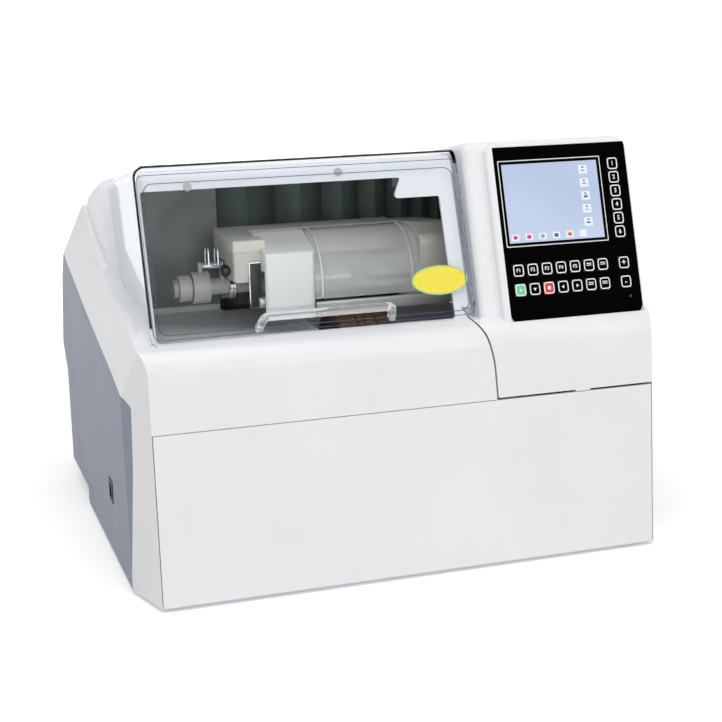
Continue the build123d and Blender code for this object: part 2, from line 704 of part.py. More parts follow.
def make_hinges():
    brackets = []
    crest = LID_REAR[0] + 11
    for x in HINGE_X:
        bracket = rod_x(HINGE_PIN_R, x - 15, x + 15, HINGE)
        for side in (-1, 1):
            ear_x = x + side * 12
            ear = [
                (HINGE[0] - 5, hood_top(HINGE[0] - 5)),
                (HINGE[0] - 5, HINGE[1] + 5, 4),
                (HINGE[0] + 5, HINGE[1] + 5, 4),
                (HINGE[0] + 12, hood_top(HINGE[0] + 12)),
                (crest, hood_top(crest)),
            ]
            bracket += prism_x(ear, ear_x - 2, ear_x + 2)
        near, far = HINGE[0] + 8, HINGE[0] + 24
        foot = [
            (near, hood_top(near)),
            (near, hood_top(near) + 3),
            (far, hood_top(far) + 3),
            (far, hood_top(far)),
        ]
        bracket += prism_x(foot, x - 14, x + 14)
        brackets.append(bracket)
    write(Compound(brackets), "hinge_bracket")


# ------------------------------------------------------------------ wet chamber
def make_tub():
    rim = SILL_Z - 5
    tray_top = TRAY_Z
    tub = block(TUB_X0, WELL_X0 + WALL, TUB_Y0, TUB_Y1, tray_top - WALL, rim)
    tub += block(WELL_X0 - WALL, TUB_X1, TUB_Y0, TUB_Y1, WELL_Z - WALL, rim)
    tray = block(TUB_X0 + WALL, WELL_X0 + WALL, TUB_Y0 + WALL, TUB_Y1 - WALL, tray_top, rim + 1)
    tub -= fillet(tray.edges().filter_by(Axis.Z), 8)
    well = block(WELL_X0, TUB_X1 - WALL, TUB_Y0 + WALL, TUB_Y1 - WALL, WELL_Z, rim + 1)
    tub -= fillet(well.edges().filter_by(Axis.Z) + well.faces().sort_by(Axis.Z)[0].edges(), 8)
    tub -= block(WELL_X0 - WALL - 1, WELL_X0 + 10, TUB_Y0 + WALL + 8, TUB_Y1 - WALL, tray_top, rim + 1)
    tub -= block(BELLOWS_X0, TUB_X1 - WALL, TUB_Y1 - 14, TUB_Y1 + 1, BELLOWS_Z, rim + 1)
    left_wall = block(TUB_X0, BELLOWS_X0, TUB_Y1 - WALL, TUB_Y1, tray_top, CHAMBER_TOP)
    right_side = [
        (TUB_Y0, rim - 4),
        (LENS[0] - 82, CHAMBER_TOP - 6, 20),
        (TUB_Y1, CHAMBER_TOP - 6),
        (TUB_Y1, WELL_Z),
        (TUB_Y0, WELL_Z),
    ]
    tub += left_wall
    tub += prism_x(right_side, TUB_X1 - WALL, TUB_X1)
    tub -= rod_x(HOUSING_R + CLEAR, TUB_X1 - WALL - 1, TUB_X1 + 1, WHEEL)
    drain_x = LENS_X - 20
    tub += rod_z(12, WELL_Z - 24, WELL_Z, drain_x, TUB_Y1 - 34)
    tub -= rod_z(9, WELL_Z - 25, WELL_Z + 1, drain_x, TUB_Y1 - 34)
    slot = block(LENS_X - 170, LENS_X - 130, TUB_Y0 + 38, TUB_Y0 + 48, tray_top - WALL - 1, tray_top + 1)
    tub -= fillet(slot.edges().filter_by(Axis.Z), 4.9)
    write(tub, "chamber_tub")




def make_bellows():
    thick = 2.0
    near, far = TUB_Y1 - 9, TUB_Y1 + 1
    shares = [PLEAT_SHRINK ** index for index in range(BELLOWS_PLEATS)]
    length = TUB_X1 - WALL - CLEAR - BELLOWS_X0 - CLEAR
    x = BELLOWS_X0 + CLEAR
    front = [(x, far)]
    for share in shares:
        pitch = length * share / sum(shares)
        front.append((x + pitch / 2, near))
        front.append((x + pitch, far))
        x += pitch
    back = [(x, y + thick) for x, y in reversed(front)]
    bellows = prism_z(front + back, BELLOWS_Z + CLEAR, CHAMBER_TOP)
    for arm in ARM_X:
        slot = block(arm - TRAVERSE - 2, arm + ARM_WIDTH + TRAVERSE + 2, near - 9, far + 9, BELLOWS_Z + 3, ARM_SLOT_Z)
        bellows -= fillet(slot.edges().filter_by(Axis.Y), 4)
    write(bellows, "bellows")




def make_nozzle():
    x = LENS_X - 4
    z = LENS[1] - 58
    nozzle = rod_y(5, TUB_Y0 + WALL + 0.1, TUB_Y0 + 26, x, z)
    nozzle += rod_y(9, TUB_Y0 + WALL + 0.1, TUB_Y0 + 9, x, z)
    tip = Pos(x, TUB_Y0 + 34, z) * Rot(-90, 0, 0) * Cone(5, 2.5, 16)
    nozzle = nozzle + tip - rod_y(1.2, TUB_Y0 + WALL + 4, TUB_Y0 + 60, x, z)
    write(nozzle, "spray_nozzle")


# ------------------------------------------------------------------ grinding wheels and their drive
def disc(radius, bore, x0, x1, centre, groove=0):
    """Wheel on an X axis with a raised rim and, if asked, a V groove round its face."""
    mid = (x1 - x0) / 2
    profile = [(0, bore), (0, radius - 1), (1, radius)]
    if groove:
        profile += [(mid - groove, radius), (mid, radius - groove * 0.6), (mid + groove, radius)]
    profile += [(x1 - x0 - 1, radius), (x1 - x0, radius - 1), (x1 - x0, bore)]
    points = [(along_x, 0, out) for along_x, out in profile]
    face = make_face(Polyline(*points, close=True))
    return Pos(x0, *centre) * revolve(face, Axis.X)


def make_spindle():
    x0 = LENS_X - 50
    pulley_x = LENS_X + 219
    spindle = rod_x(SPINDLE_R, x0, pulley_x + 16, WHEEL)
    spindle += rod_x(15, STACK_X[0] - 4, STACK_X[0], WHEEL)
    spindle += rod_x(15, STACK_X[3], STACK_X[3] + 4, WHEEL)
    nut = Pos(x0 + 4, *WHEEL) * Rot(0, 90, 0) * extrude(RegularPolygon(15, 6), amount=7)
    write(spindle + nut, "wheel_spindle")
    names = ("roughing_wheel", "bevel_wheel", "polishing_wheel")
    for index, name in enumerate(names):
        x = STACK_X[index]
        groove = 4 if name == "bevel_wheel" else 0
        write(disc(WHEEL_R, SPINDLE_R + FIT, x + 0.1, x + WHEEL_WIDTH - 0.1, WHEEL, groove), name)

    housing = tube_x(HOUSING_R, SPINDLE_R + FIT, LENS_X + 50, LENS_X + 200, WHEEL)
    housing += tube_x(HOUSING_R + 14, SPINDLE_R + FIT, TUB_X1 + CLEAR, TUB_X1 + 8, WHEEL)
    for index in range(6):
        angle = radians(60 * index + 30)
        place = (WHEEL[0] + 34 * cos(angle), WHEEL[1] + 34 * sin(angle))
        housing += rod_x(3, TUB_X1 + 7, TUB_X1 + 11, place)
    write(housing, "spindle_housing")

    for name, radius, centre, bore in (
        ("spindle_pulley", SPINDLE_PULLEY_R, WHEEL, SPINDLE_R + FIT),
        ("motor_pulley", MOTOR_PULLEY_R, MOTOR, 0),
    ):
        pulley = rod_x(radius, pulley_x, pulley_x + 12, centre)
        for x in (pulley_x - 1.5, pulley_x + 12):
            pulley += rod_x(radius + 3.5, x, x + 1.5, centre)
        if bore:
            pulley -= rod_x(bore, pulley_x - 5, pulley_x + 20, centre)
        else:
            pulley += rod_x(7, MOTOR_X0 + MOTOR_LENGTH - 10, pulley_x + 16, centre)
        write(pulley, name)

    belt = belt_loop(2.0 + CLEAR) - belt_loop(CLEAR)
    write(Pos(pulley_x + 1, 0, 0) * belt, "drive_belt")




def belt_loop(extra):
    """Solid racetrack round both pulleys, from x 0 to 10."""
    lean = (MOTOR_PULLEY_R - SPINDLE_PULLEY_R) / (WHEEL[1] - MOTOR[1])
    rise = (1 - lean * lean) ** 0.5
    upper, lower = SPINDLE_PULLEY_R + extra, MOTOR_PULLEY_R + extra
    web = [
        (WHEEL[0] - upper * rise, WHEEL[1] + upper * lean),
        (WHEEL[0] + upper * rise, WHEEL[1] + upper * lean),
        (MOTOR[0] + lower * rise, MOTOR[1] + lower * lean),
        (MOTOR[0] - lower * rise, MOTOR[1] + lower * lean),
    ]
    return prism_x(web, 0, 10) + rod_x(upper, 0, 10, WHEEL) + rod_x(lower, 0, 10, MOTOR)


def make_motor():
    x0, x1 = MOTOR_X0, MOTOR_X0 + MOTOR_LENGTH
    motor = rod_x(MOTOR_R, x0, x1, MOTOR)
    motor = fillet(motor.edges(), 4)
    for index in range(8):
        angle = radians(45 * index + 22.5)
        place = (MOTOR[0] + MOTOR_R * cos(angle), MOTOR[1] + MOTOR_R * sin(angle))
        motor -= rod_x(1.6, x0 + 14, x1 - 24, place)
    floor_top = FLOOR_Z + WALL
    for x in (x0 + 28, x1 - 34):
        motor += block(x - 9, x + 9, MOTOR[0] - 40, MOTOR[0] + 40, floor_top + 0.1, MOTOR[1] - 30)
    motor -= rod_x(7 + FIT, x1 - 10 - CLEAR, x1 + 5, MOTOR)
    write(motor, "wheel_motor")


# ------------------------------------------------------------------ sliding and swinging head
def make_guide():
    floor_top = FLOOR_Z + WALL
    shaft = rod_x(GUIDE_R, PEDESTAL_X[0] - 8, PEDESTAL_X[1] + 8, PIVOT)
    for x in PEDESTAL_X:
        side = [
            (PIVOT[0] - 32, floor_top + 0.1),
            (PIVOT[0] - 32, floor_top + 12, 4),
            (PIVOT[0] - 18, PIVOT[1], 4),
            (PIVOT[0] + 12, PIVOT[1]),
            (PIVOT[0] + 4, floor_top + 0.1),
        ]
        shaft += prism_x(side, x - 7, x + 7)
        shaft += rod_x(18, x - 7, x + 7, PIVOT)
    write(shaft, "guide_shaft")




def make_head():
    hub_r = GUIDE_R + FIT + SLEEVE_WALL
    hub0, hub1 = ARM_X[0], ARM_X[1] + ARM_WIDTH
    sleeve = rod_x(hub_r, hub0 - CLEAR, hub1 + CLEAR, PIVOT)
    for x in (hub0 - CLEAR - 4, hub1 + CLEAR):
        sleeve += rod_x(hub_r + 5, x, x + 4, PIVOT)
    sleeve -= rod_x(GUIDE_R + FIT, hub0 - 10, hub1 + 10, PIVOT)
    write(sleeve, "traverse_sleeve")

    run, rise = PIVOT[0] - LENS[0], LENS[1] - PIVOT[1]
    reach = hypot(run, rise)
    up = (rise / reach * ARM_HEIGHT / 2, run / reach * ARM_HEIGHT / 2)
    outline = [
        (LENS[0] + up[0], LENS[1] + up[1]),
        (PIVOT[0] + up[0], PIVOT[1] + up[1]),
        (PIVOT[0] - up[0], PIVOT[1] - up[1]),
        (LENS[0] - up[0], LENS[1] - up[1]),
    ]
    head = None
    for x, shaft_r in zip(ARM_X, (CHUCK_SHAFT_R, QUILL_R)):
        arm = prism_x(outline, x, x + ARM_WIDTH)
        arm += rod_x(hub_r + 7, x, x + ARM_WIDTH, PIVOT)
        arm += rod_x(18, x, x + ARM_WIDTH, LENS)
        arm -= rod_x(hub_r + FIT, x - 1, x + ARM_WIDTH + 1, PIVOT)
        arm -= rod_x(shaft_r + FIT, x - 1, x + ARM_WIDTH + 1, LENS)
        head = arm if head is None else head + arm
    beam_y, beam_z = along(PIVOT, LENS, 0.19)
    beam = block(ARM_X[0] + 2, ARM_X[1] + 2, beam_y - 6, beam_y + 6, beam_z - 8, beam_z + 8)
    head += beam
    rail = block(LENS_X - 65.9, LENS_X + 85, LENS[0] - 59, LENS[0] - 53, LENS[1] - 27, LENS[1] - 14)
    head += fillet(rail.edges().filter_by(Axis.X), 2)
    head += block(ARM_X[1] + 4, ARM_X[1] + 18, LENS[0] - 54, LENS[0], LENS[1] - 25, LENS[1] - 15)
    head += block(ARM_X[0] + 4, ARM_X[0] + 18, LENS[0] - 50, LENS[0], LENS[1] - 17, LENS[1] - 7)
    head += rod_x(CUP_R - 3, LENS_X - 124, ARM_X[0] + 6, (LENS[0] - 45, LENS[1] - 12))
    write(head, "carriage_frame")

    write(left_cover(), "left_arm_cover")
    write(right_cover(), "right_arm_cover")

    shield_x = (LENS_X - 65.9, LENS_X + 49.9)
    shield = tube_x(SHIELD_R, SHIELD_R - 2.5, *shield_x, LENS)
    keep = [
        (LENS[0] - SHIELD_R - 5, LENS[1] - 12),
        (LENS[0] - SHIELD_R - 5, LENS[1] + SHIELD_R + 5),
        (LENS[0] + 6, LENS[1] + SHIELD_R + 5),
        (LENS[0] + 6, LENS[1] - 12),
    ]
    for x in (shield_x[0], shield_x[1] - 3):
        shield += tube_x(SHIELD_R, SHIELD_R - 9, x, x + 3, LENS)
    write(shield & prism_x(keep, LENS_X - 80, LENS_X + 80), "splash_shield")

    motor = rod_x(CHUCK_SHAFT_R + 2.5, LENS_X - 166, ARM_X[0] - 0.1, LENS)
    motor += rod_x(16.4, LENS_X - 184, LENS_X - 166, LENS)
    motor += rod_x(11, LENS_X - 186, LENS_X - 183, LENS)
    motor += rod_x(13.6, LENS_X - 198, LENS_X - 185, LENS)
    motor += rod_x(9.3, LENS_X - 203, LENS_X - 197, LENS)
    motor -= rod_x(CHUCK_SHAFT_R + FIT, ARM_X[0] - 20 - CLEAR, ARM_X[0] + 5, LENS)
    write(motor + feeler_bracket(), "chuck_motor")

    left = rod_x(CHUCK_SHAFT_R, ARM_X[0] - 20, LENS_X - 20, LENS)
    left += rod_x(CUP_R, LENS_X - 34, LENS_X - 14, LENS)
    left += rod_x(CUP_R - 2, LENS_X - 15, LENS_X - 12, LENS)
    write(left, "left_chuck")

    quill0, quill1 = LENS_X + 32, LENS_X + 84
    quill = tube_x(QUILL_R, CHUCK_SHAFT_R + FIT, quill0, quill1, LENS)
    write(quill, "clamp_quill")
    right = rod_x(CHUCK_SHAFT_R, LENS_X + 20, quill1 - 2, LENS)
    right += rod_x(CUP_R, LENS_X + 16, quill0 - CLEAR, LENS)
    right += rod_x(CUP_R - 2, LENS_X + 14, LENS_X + 17, LENS)
    write(right, "right_chuck")


def left_cover():
    wall = 2.5
    y0, y1 = LENS[0] - 57, LENS[0] + 81
    x0, x1 = LENS_X - 118, LENS_X - 66
    outline = [
        (y0 + 7, LENS[1] - 27),
        (y0, LENS[1] - 16, 2),
        (y0, LENS[1] + 38, 5),
        (y0 + 47, LENS[1] + 55, 8),
        (y1, LENS[1] + 42, 5),
        (y1, LENS[1] - 15),
        (y0 + 75, LENS[1] - 27),
    ]
    plan = [(x0, y0, 4), (x0 - 10, y1), (x1, y1), (x1, y0, 6)]
    cover = prism_x(outline, x0 - 12, x1) & prism_z(plan, LENS[1] - 60, LENS[1] + 80)
    hollow = prism_x(inset(outline, [wall] * 5 + [-20, -20]), x0 - 12, x1)
    hollow = hollow & prism_z(inset(plan, wall), LENS[1] - 80, LENS[1] + 80)
    side_box = (x0 - 30, x0 + 4, y0 + 16, y0 + 60, LENS[1] + 9, LENS[1] + 42)
    box_room = (x0 - 30 + wall, x0 + 5, y0 + 16 + wall, y0 + 60 - wall, LENS[1] + 5, LENS[1] + 42 - wall)
    outer_box = block(*side_box)
    outer_box = fillet(outer_box.edges().group_by(Axis.X)[0], 3)
    cover = (cover + outer_box) - hollow - block(*box_room)
    window = block(x0 - 14, x0 + 4, y0 + 5, y0 + 62, LENS[1] - 40, LENS[1] + 20)
    window += block(x0 - 14, x0 + 4, y0 + 67, y1 - 14, LENS[1] - 40, LENS[1] + 20)
    window += block(x0 - 14, x0 + 4, y0 + 61, y0 + 68, LENS[1] - 40, LENS[1])
    cover -= window
    cover -= block(x0 + 8, x1 - 8, y1 - 5, y1 + 2, LENS[1] - 40, LENS[1] - 2)
    cover -= rod_x(CUP_R + 1, x1 - 6, x1 + 4, LENS)
    return cover - rod_x(13, x0 - 14, x0 + 4, LENS)


def right_cover():
    wall = 2.5
    y0, y1 = LENS[0] - 52, LENS[0] + 78
    x0, x1 = LENS_X + 50, LENS_X + 88
    outline = [
        (y0, LENS[1] - 13),
        (y0, LENS[1] + 44, 12),
        (y0 + 30, LENS[1] + 57, 14),
        (y1, LENS[1] + 48, 6),
        (y1, LENS[1] - 27),
        (y0 + 40, LENS[1] - 27),
    ]
    cover = prism_x(outline, x0, x1)
    hollow = inset(outline, [wall] * 4 + [-20, -20])
    cover -= prism_x(hollow, x0 + wall, x1 - wall)
    cover -= rod_x(QUILL_R + 1, x0 - 2, x0 + 6, LENS)
    cover -= block(x0 + 5, x1 - 5, y1 - 5, y1 + 2, LENS[1] - 40, LENS[1] - 2)
    return cover


def make_feelers():
    axis = FEELER_AXIS
    x = FEELER_X
    hub = rod_x(3.5, x - 9, x + 9, axis)
    hub -= rod_x(1.5 + FIT, x - 20, x + 20, axis)
    feelers = hub
    for offset in (-5, 5):
        path = FilletPolyline(
            (x + offset, axis[0], axis[1] + 2),
            (x + offset, axis[0] - 2, axis[1] + 22),
            (x + offset, axis[0] - 16, axis[1] + 20),
            (x + offset, axis[0] - 17, axis[1] + 3),
            radius=5,
        )
        feelers += sweep(Plane(origin=path @ 0, z_dir=path % 0) * Circle(1.1), path=path)
    write(feelers, "feeler_styli")




def feeler_bracket():
    """Pin and ears of the feelers, on the chuck motor and its neck."""
    post = rod_x(1.5, FEELER_X - 13, FEELER_X + 13, FEELER_AXIS)
    for side in (-1, 1):
        x = FEELER_X + side * 11.5
        post += block(x - 1.8, x + 1.8, LENS[0] - 4, LENS[0] + 4, LENS[1] + 5, FEELER_AXIS[1] + 4)
    return post


# ------------------------------------------------------------------ control panel
def make_panel():
    panel = on_panel(PANEL_WIDTH / 2, PANEL_HEIGHT / 2, PANEL_WIDTH, PANEL_HEIGHT, -PANEL_THICK, 0)
    lower = [edge for edge in panel.edges() if edge.length < 2 and edge.center().Z < PANEL_TOP[1] - 100]
    panel = fillet(lower, 12)
    panel -= on_panel(*SCREEN_AT, SCREEN_WIDTH, SCREEN_HEIGHT, -5, 5)
    for x, down in key_places().values():
        panel -= on_panel(x, down, KEY_WIDTH + 2 * KEY_GAP, KEY_HEIGHT + 2 * KEY_GAP, -5, 5)
    write(panel, "panel_fascia")
    screen = on_panel(*SCREEN_AT, SCREEN_WIDTH - 0.2, SCREEN_HEIGHT - 0.2, -PANEL_THICK - 1.5, -0.3)
    write(screen, "display_screen")
    for name, (x, down) in key_places().items():
        key = Box(KEY_WIDTH, KEY_HEIGHT, KEY_THICK)
        key = fillet(key.edges().filter_by(Axis.Z), KEY_ROUND)
        key = chamfer(key.faces().sort_by(Axis.Z)[-1].edges(), 0.4)
        write(panel_plane() * Pos(x, -down, KEY_PROUD - KEY_THICK / 2) * key, name)


def make_all():
    make_covers()
    make_base()
    make_switch()
    make_feet()
    make_rear_fittings()
    make_lid()
    make_handle()
    make_hinges()
    make_tub()
    make_bellows()
    make_nozzle()
    make_spindle()
    make_motor()
    make_guide()
    make_head()
    make_feelers()
    make_panel()


make_all()
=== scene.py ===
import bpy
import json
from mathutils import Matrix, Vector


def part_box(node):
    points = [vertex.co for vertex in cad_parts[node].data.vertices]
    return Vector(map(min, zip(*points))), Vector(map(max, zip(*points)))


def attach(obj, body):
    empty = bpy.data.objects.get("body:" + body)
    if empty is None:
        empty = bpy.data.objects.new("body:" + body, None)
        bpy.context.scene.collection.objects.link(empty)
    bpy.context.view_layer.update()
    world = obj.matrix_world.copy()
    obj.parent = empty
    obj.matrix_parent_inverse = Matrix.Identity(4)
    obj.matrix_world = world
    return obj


bl_info = {
    "name": "Lens Edger Model",
    "version": (1, 0, 0),
    "blender": (4, 5, 0),
    "location": "3D View > Sidebar > Lens Edger",
    "description": "Finishes, trim and studio for a bench-top optical lens edger",
    "category": "Object",
}

import json
import math

import bmesh
import bpy
from mathutils import Matrix, Quaternion, Vector

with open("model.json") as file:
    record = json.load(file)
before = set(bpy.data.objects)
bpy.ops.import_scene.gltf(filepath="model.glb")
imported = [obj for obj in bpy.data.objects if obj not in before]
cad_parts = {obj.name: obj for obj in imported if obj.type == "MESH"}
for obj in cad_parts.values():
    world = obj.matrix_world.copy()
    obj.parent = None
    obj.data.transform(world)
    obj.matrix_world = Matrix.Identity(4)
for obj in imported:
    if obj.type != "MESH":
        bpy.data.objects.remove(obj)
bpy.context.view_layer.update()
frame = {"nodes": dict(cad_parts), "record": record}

MM = 0.001

# control panel, in mm; places on it are measured from its upper left corner
PANEL_THICK = 1.5
PANEL_TILT = math.radians(16.74)
SCREEN_SIZE = (112.0, 86.4)
SCREEN_AT = (61.0, 58.2)
SCREEN_DEPTH = 0.3
LAMP_AT = (135.5, 161.9)
KEY_PROUD = 0.7
KEY_RING = (11.4, 12.0)
KEY_COLUMN_X = 132.0
SIDE_KEY_TOP, SIDE_KEY_PITCH = 22.6, 14.3
ROW_START, ROW_PITCH = 13.3, 15.75
UPPER_ROW, LOWER_ROW = 126.7, 146.6
ICON_X, ICON_TOP, ICON_PITCH = 98.0, 27.0, 13.6
MENU_START, MENU_PITCH, MENU_ROW = 14.5, 15.2, 93.0
INK = 0.08                  # thickness of what is printed on the keys
GLOW_FILM = 0.03            # thickness of a figure on the display

# lid, in mm; its foot is given as Y and Z, and places on it as X and the way up the slope from its foot
LID_FOOT = (-213.0, 254.0)
LID_RUN, LID_RISE = 59.0, 163.0
LID_LEAN = math.atan2(LID_RUN, LID_RISE)
LID_SLOPE = math.hypot(LID_RUN, LID_RISE)
LID_WALL = 3.0
LID_BEND = 12.0
LINE_INSET = 6.5
LABEL_AT = (45.0, 39.5)
BUFFERS = {"left": (-199.3, 150.5), "right": (-45.8, 157.0)}
BUFFER_HEIGHT = 2.4

# levels at which one moulded piece changes colour, in mm
# where the tub turns from its pale tray, painted light, to its darker walls, painted shade
TUB_SHADE_LEVEL = 240.0
# beyond this level the bellows get painted shade, deep in their folds
FOLD_SHADE_LEVEL = 31.0
ROCKER_MIDDLE = 77.5
SIDE_BOX_EDGE = -119.0

# blocks of the carriage: low and high corner in mm from the left arm cover's low corner, edge radius, finish
BLOCKS = {
    "carriage_beam": ((5, 89, 48), (202, 129, 78), 2.5, "arm_beige"),
    "side_box_cap": ((-0.5, 15, 66), (34, 91, 79), 2.0, "arm_beige"),
    "side_window": ((16, 14.6, 9), (29, 16.1, 56), 0.4, "black_plastic"),
    "motor_bracket": ((17, 75, 3), (28.5, 83, 48.5), 1.0, "black_plastic"),
}
WINDOW_LAP = 0.3            # how far the window's frame reaches past its edge

# turned trim of the carriage, as (x, radius) in mm
KNOB_PROFILE = ((0, 0), (0, 2.4), (-2, 2.4), (-2.4, 5.4), (-3.2, 6.2), (-8, 6.2), (-9, 5.2), (-9.4, 3.0),
                (-8.8, 0))
CLAMP_PROFILE = ((0, 8.6), (0, 13.0), (0.8, 13.8), (2.6, 13.8), (3.2, 12.2), (4.0, 12.2), (4.6, 13.8),
                 (6.4, 13.8), (7.2, 13.0), (7.2, 8.6))

# rims of the splash shield: radius of the bead and distance along X from each end in mm, arc in degrees
RIM_BEAD = 1.3
RIM_INSETS = {"left": 8.0, "right": -9.0}
RIM_START, RIM_SWEEP = 11, 100


# ------------------------------------------------------------------ colours and shader nodes
def linear(colour):
    """Linear RGBA of an sRGB hex colour."""
    parts = [int(colour[i:i + 2], 16) / 255 for i in (1, 3, 5)]
    parts = [v / 12.92 if v <= 0.04045 else ((v + 0.055) / 1.055) ** 2.4 for v in parts]
    return (*parts, 1.0)


def shaded(base, share):
    """A linear colour made lighter or darker."""
    return (*(min(1.0, v * share) for v in base[:3]), 1.0)


def add_node(tree, kind, settings=None, inputs=None):
    """Add a shader node with its settings; an input is a value, or another node's output to link."""
    node = tree.nodes.new(kind)
    for name, value in (settings or {}).items():
        setattr(node, name, value)
    for name, value in (inputs or {}).items():
        if isinstance(value, bpy.types.NodeSocket):
            tree.links.new(value, node.inputs[name])
        else:
            node.inputs[name].default_value = value
    return node


def new_material(name, base, roughness, metallic=0.0, **sockets):
    """A Principled material; base is linear RGBA, and sockets set more of the shader's own values."""
    material = bpy.data.materials.new(name)
    material.use_nodes = True
    shader = material.node_tree.nodes["Principled BSDF"]
    values = {"Base Color": base, "Roughness": roughness, "Metallic": metallic}
    values.update({socket.replace("_", " "): value for socket, value in sockets.items()})
    for socket, value in values.items():
        shader.inputs[socket].default_value = value
    material.diffuse_color = base
    return material, material.node_tree, shader


def grain(tree, size_mm, detail=3.0, roughness=0.5, stretch=(1, 1, 1)):
    """Irregular grains about size_mm across, or lines where one axis is stretched more than the others."""
    where = add_node(tree, "ShaderNodeTexCoord").outputs["Object"]
    where = add_node(tree, "ShaderNodeMapping", inputs={"Vector": where, "Scale": stretch}).outputs[0]
    values = {"Vector": where, "Scale": 1 / (size_mm * MM), "Detail": detail, "Roughness": roughness}
    return add_node(tree, "ShaderNodeTexNoise", inputs=values).outputs["Fac"]


def mottle(tree, size_mm, dark, light, low=0.3, high=0.7, detail=2.0):
    """Colour that drifts between dark and light over about size_mm."""
    ramp = add_node(tree, "ShaderNodeValToRGB", inputs={"Fac": grain(tree, size_mm, detail)})
    for element, position, colour in zip(ramp.color_ramp.elements, (low, high), (dark, light)):
        element.position = position
        element.color = colour
    return ramp.outputs["Color"]


def two_tone(tree, axis, level_mm, soft_mm, under, over):
    """Colour under below a level on one axis of the object, over above it, with a soft step between."""
    where = add_node(tree, "ShaderNodeTexCoord").outputs["Object"]
    parts = add_node(tree, "ShaderNodeSeparateXYZ", inputs={"Vector": where})
    limits = {"From Min": (level_mm - soft_mm) * MM, "From Max": (level_mm + soft_mm) * MM}
    step = add_node(tree, "ShaderNodeMapRange", inputs={"Value": parts.outputs[axis], **limits})
    mixed = add_node(tree, "ShaderNodeMix", {"data_type": "RGBA"}, {0: step.outputs[0], 6: under, 7: over})
    return mixed.outputs[2]


def skin(tree, shader, size_mm, depth_mm, lowest, highest, strength=0.4):
    """Fine relief of the surface, and gloss that wanders between two roughnesses."""
    relief = add_node(tree, "ShaderNodeBump", inputs={
        "Height": grain(tree, size_mm), "Distance": depth_mm * MM, "Strength": strength})
    gloss = add_node(tree, "ShaderNodeMapRange", inputs={
        "Value": grain(tree, 24 * size_mm, 4.0), "To Min": lowest, "To Max": highest})
    tree.links.new(relief.outputs[0], shader.inputs["Normal"])
    tree.links.new(gloss.outputs[0], shader.inputs["Roughness"])


def colour_by(tree, shader, colour, socket="Base Color"):
    """Let a pattern set the shader's colour, or another of its sockets."""
    tree.links.new(colour, shader.inputs[socket])


# ------------------------------------------------------------------ finishes
def moulded_abs(name, base, roughness=0.4):
    """Injection-moulded ABS: an even satin skin, a faint orange peel and slightly uneven gloss."""
    material, tree, shader = new_material(name, base, roughness, IOR=1.53)
    colour_by(tree, shader, mottle(tree, 90, shaded(base, 0.97), base))
    skin(tree, shader, 0.9, 0.012, roughness - 0.05, roughness + 0.07)
    return material


def powder_coat(name, base):
    """Powder-coated steel sheet: coarser orange peel than moulded plastic, and a broad dull sheen."""
    material, tree, shader = new_material(name, base, 0.48, IOR=1.5, Specular_IOR_Level=0.25)
    colour_by(tree, shader, mottle(tree, 120, shaded(base, 0.94), shaded(base, 1.03)))
    skin(tree, shader, 1.4, 0.03, 0.42, 0.54)
    return material


def clear_plastic(name, tint, roughness, **sockets):
    """Clear moulded polycarbonate: seen through and softly mirroring.

    Lamps shine through it, so that what it covers is lit as in the open.
    """
    material, tree, shader = new_material(name, tint, roughness, **sockets)
    gloss = add_node(tree, "ShaderNodeMapRange", inputs={
        "Value": grain(tree, 60), "To Min": roughness, "To Max": roughness + 0.03})
    tree.links.new(gloss.outputs[0], shader.inputs["Roughness"])
    paths = add_node(tree, "ShaderNodeLightPath").outputs
    through = add_node(tree, "ShaderNodeBsdfTransparent", inputs={"Color": tint}).outputs[0]
    mixed = shader
    for path in ("Is Diffuse Ray", "Is Shadow Ray"):
        mixed = add_node(tree, "ShaderNodeMixShader", inputs={
            0: paths[path], 1: mixed.outputs[0], 2: through})
    tree.links.new(mixed.outputs[0], tree.nodes["Material Output"].inputs["Surface"])
    return material


def turned_metal(name, base, roughness, pitch_mm=0.6):
    """Turned or ground metal: fine lathe lines round the X axis break up its mirror."""
    material, tree, shader = new_material(name, base, roughness, 1.0)
    lines = grain(tree, 1000.0, 4.0, 0.5, (1.0 / (pitch_mm * MM), 4.0, 4.0))
    gloss = add_node(tree, "ShaderNodeMapRange", inputs={
        "Value": lines, "To Min": roughness - 0.08, "To Max": roughness + 0.12})
    relief = add_node(tree, "ShaderNodeBump", inputs={
        "Height": lines, "Distance": 0.02 * MM, "Strength": 0.3})
    tree.links.new(gloss.outputs[0], shader.inputs["Roughness"])
    tree.links.new(relief.outputs[0], shader.inputs["Normal"])
    return material


def blasted_aluminium(name, base):
    """Bead-blasted anodised aluminium: a fine even grain and a soft, wide highlight."""
    material, tree, shader = new_material(name, base, 0.38, 0.9)
    colour_by(tree, shader, mottle(tree, 40, shaded(base, 0.9), base))
    skin(tree, shader, 0.6, 0.02, 0.33, 0.46)
    return material


def sintered_bronze(name, base):
    """Diamond wheel of sintered bronze: a dull brown metal full of grit that catches the light."""
    material, tree, shader = new_material(name, base, 0.55, 0.7)
    colour_by(tree, shader, mottle(tree, 0.8, shaded(base, 0.45), base, 0.35, 0.62, 5.0))
    skin(tree, shader, 0.8, 0.15, 0.45, 0.62)
    return material


def moulded_rubber(name, base):
    """Moulded nitrile rubber: dull and dark, with a dusty bloom."""
    material, tree, shader = new_material(name, base, 0.75, IOR=1.5)
    colour_by(tree, shader, mottle(tree, 12, base, shaded(base, 2.4), 0.4, 0.8, 4.0))
    skin(tree, shader, 0.7, 0.04, 0.68, 0.82)
    return material


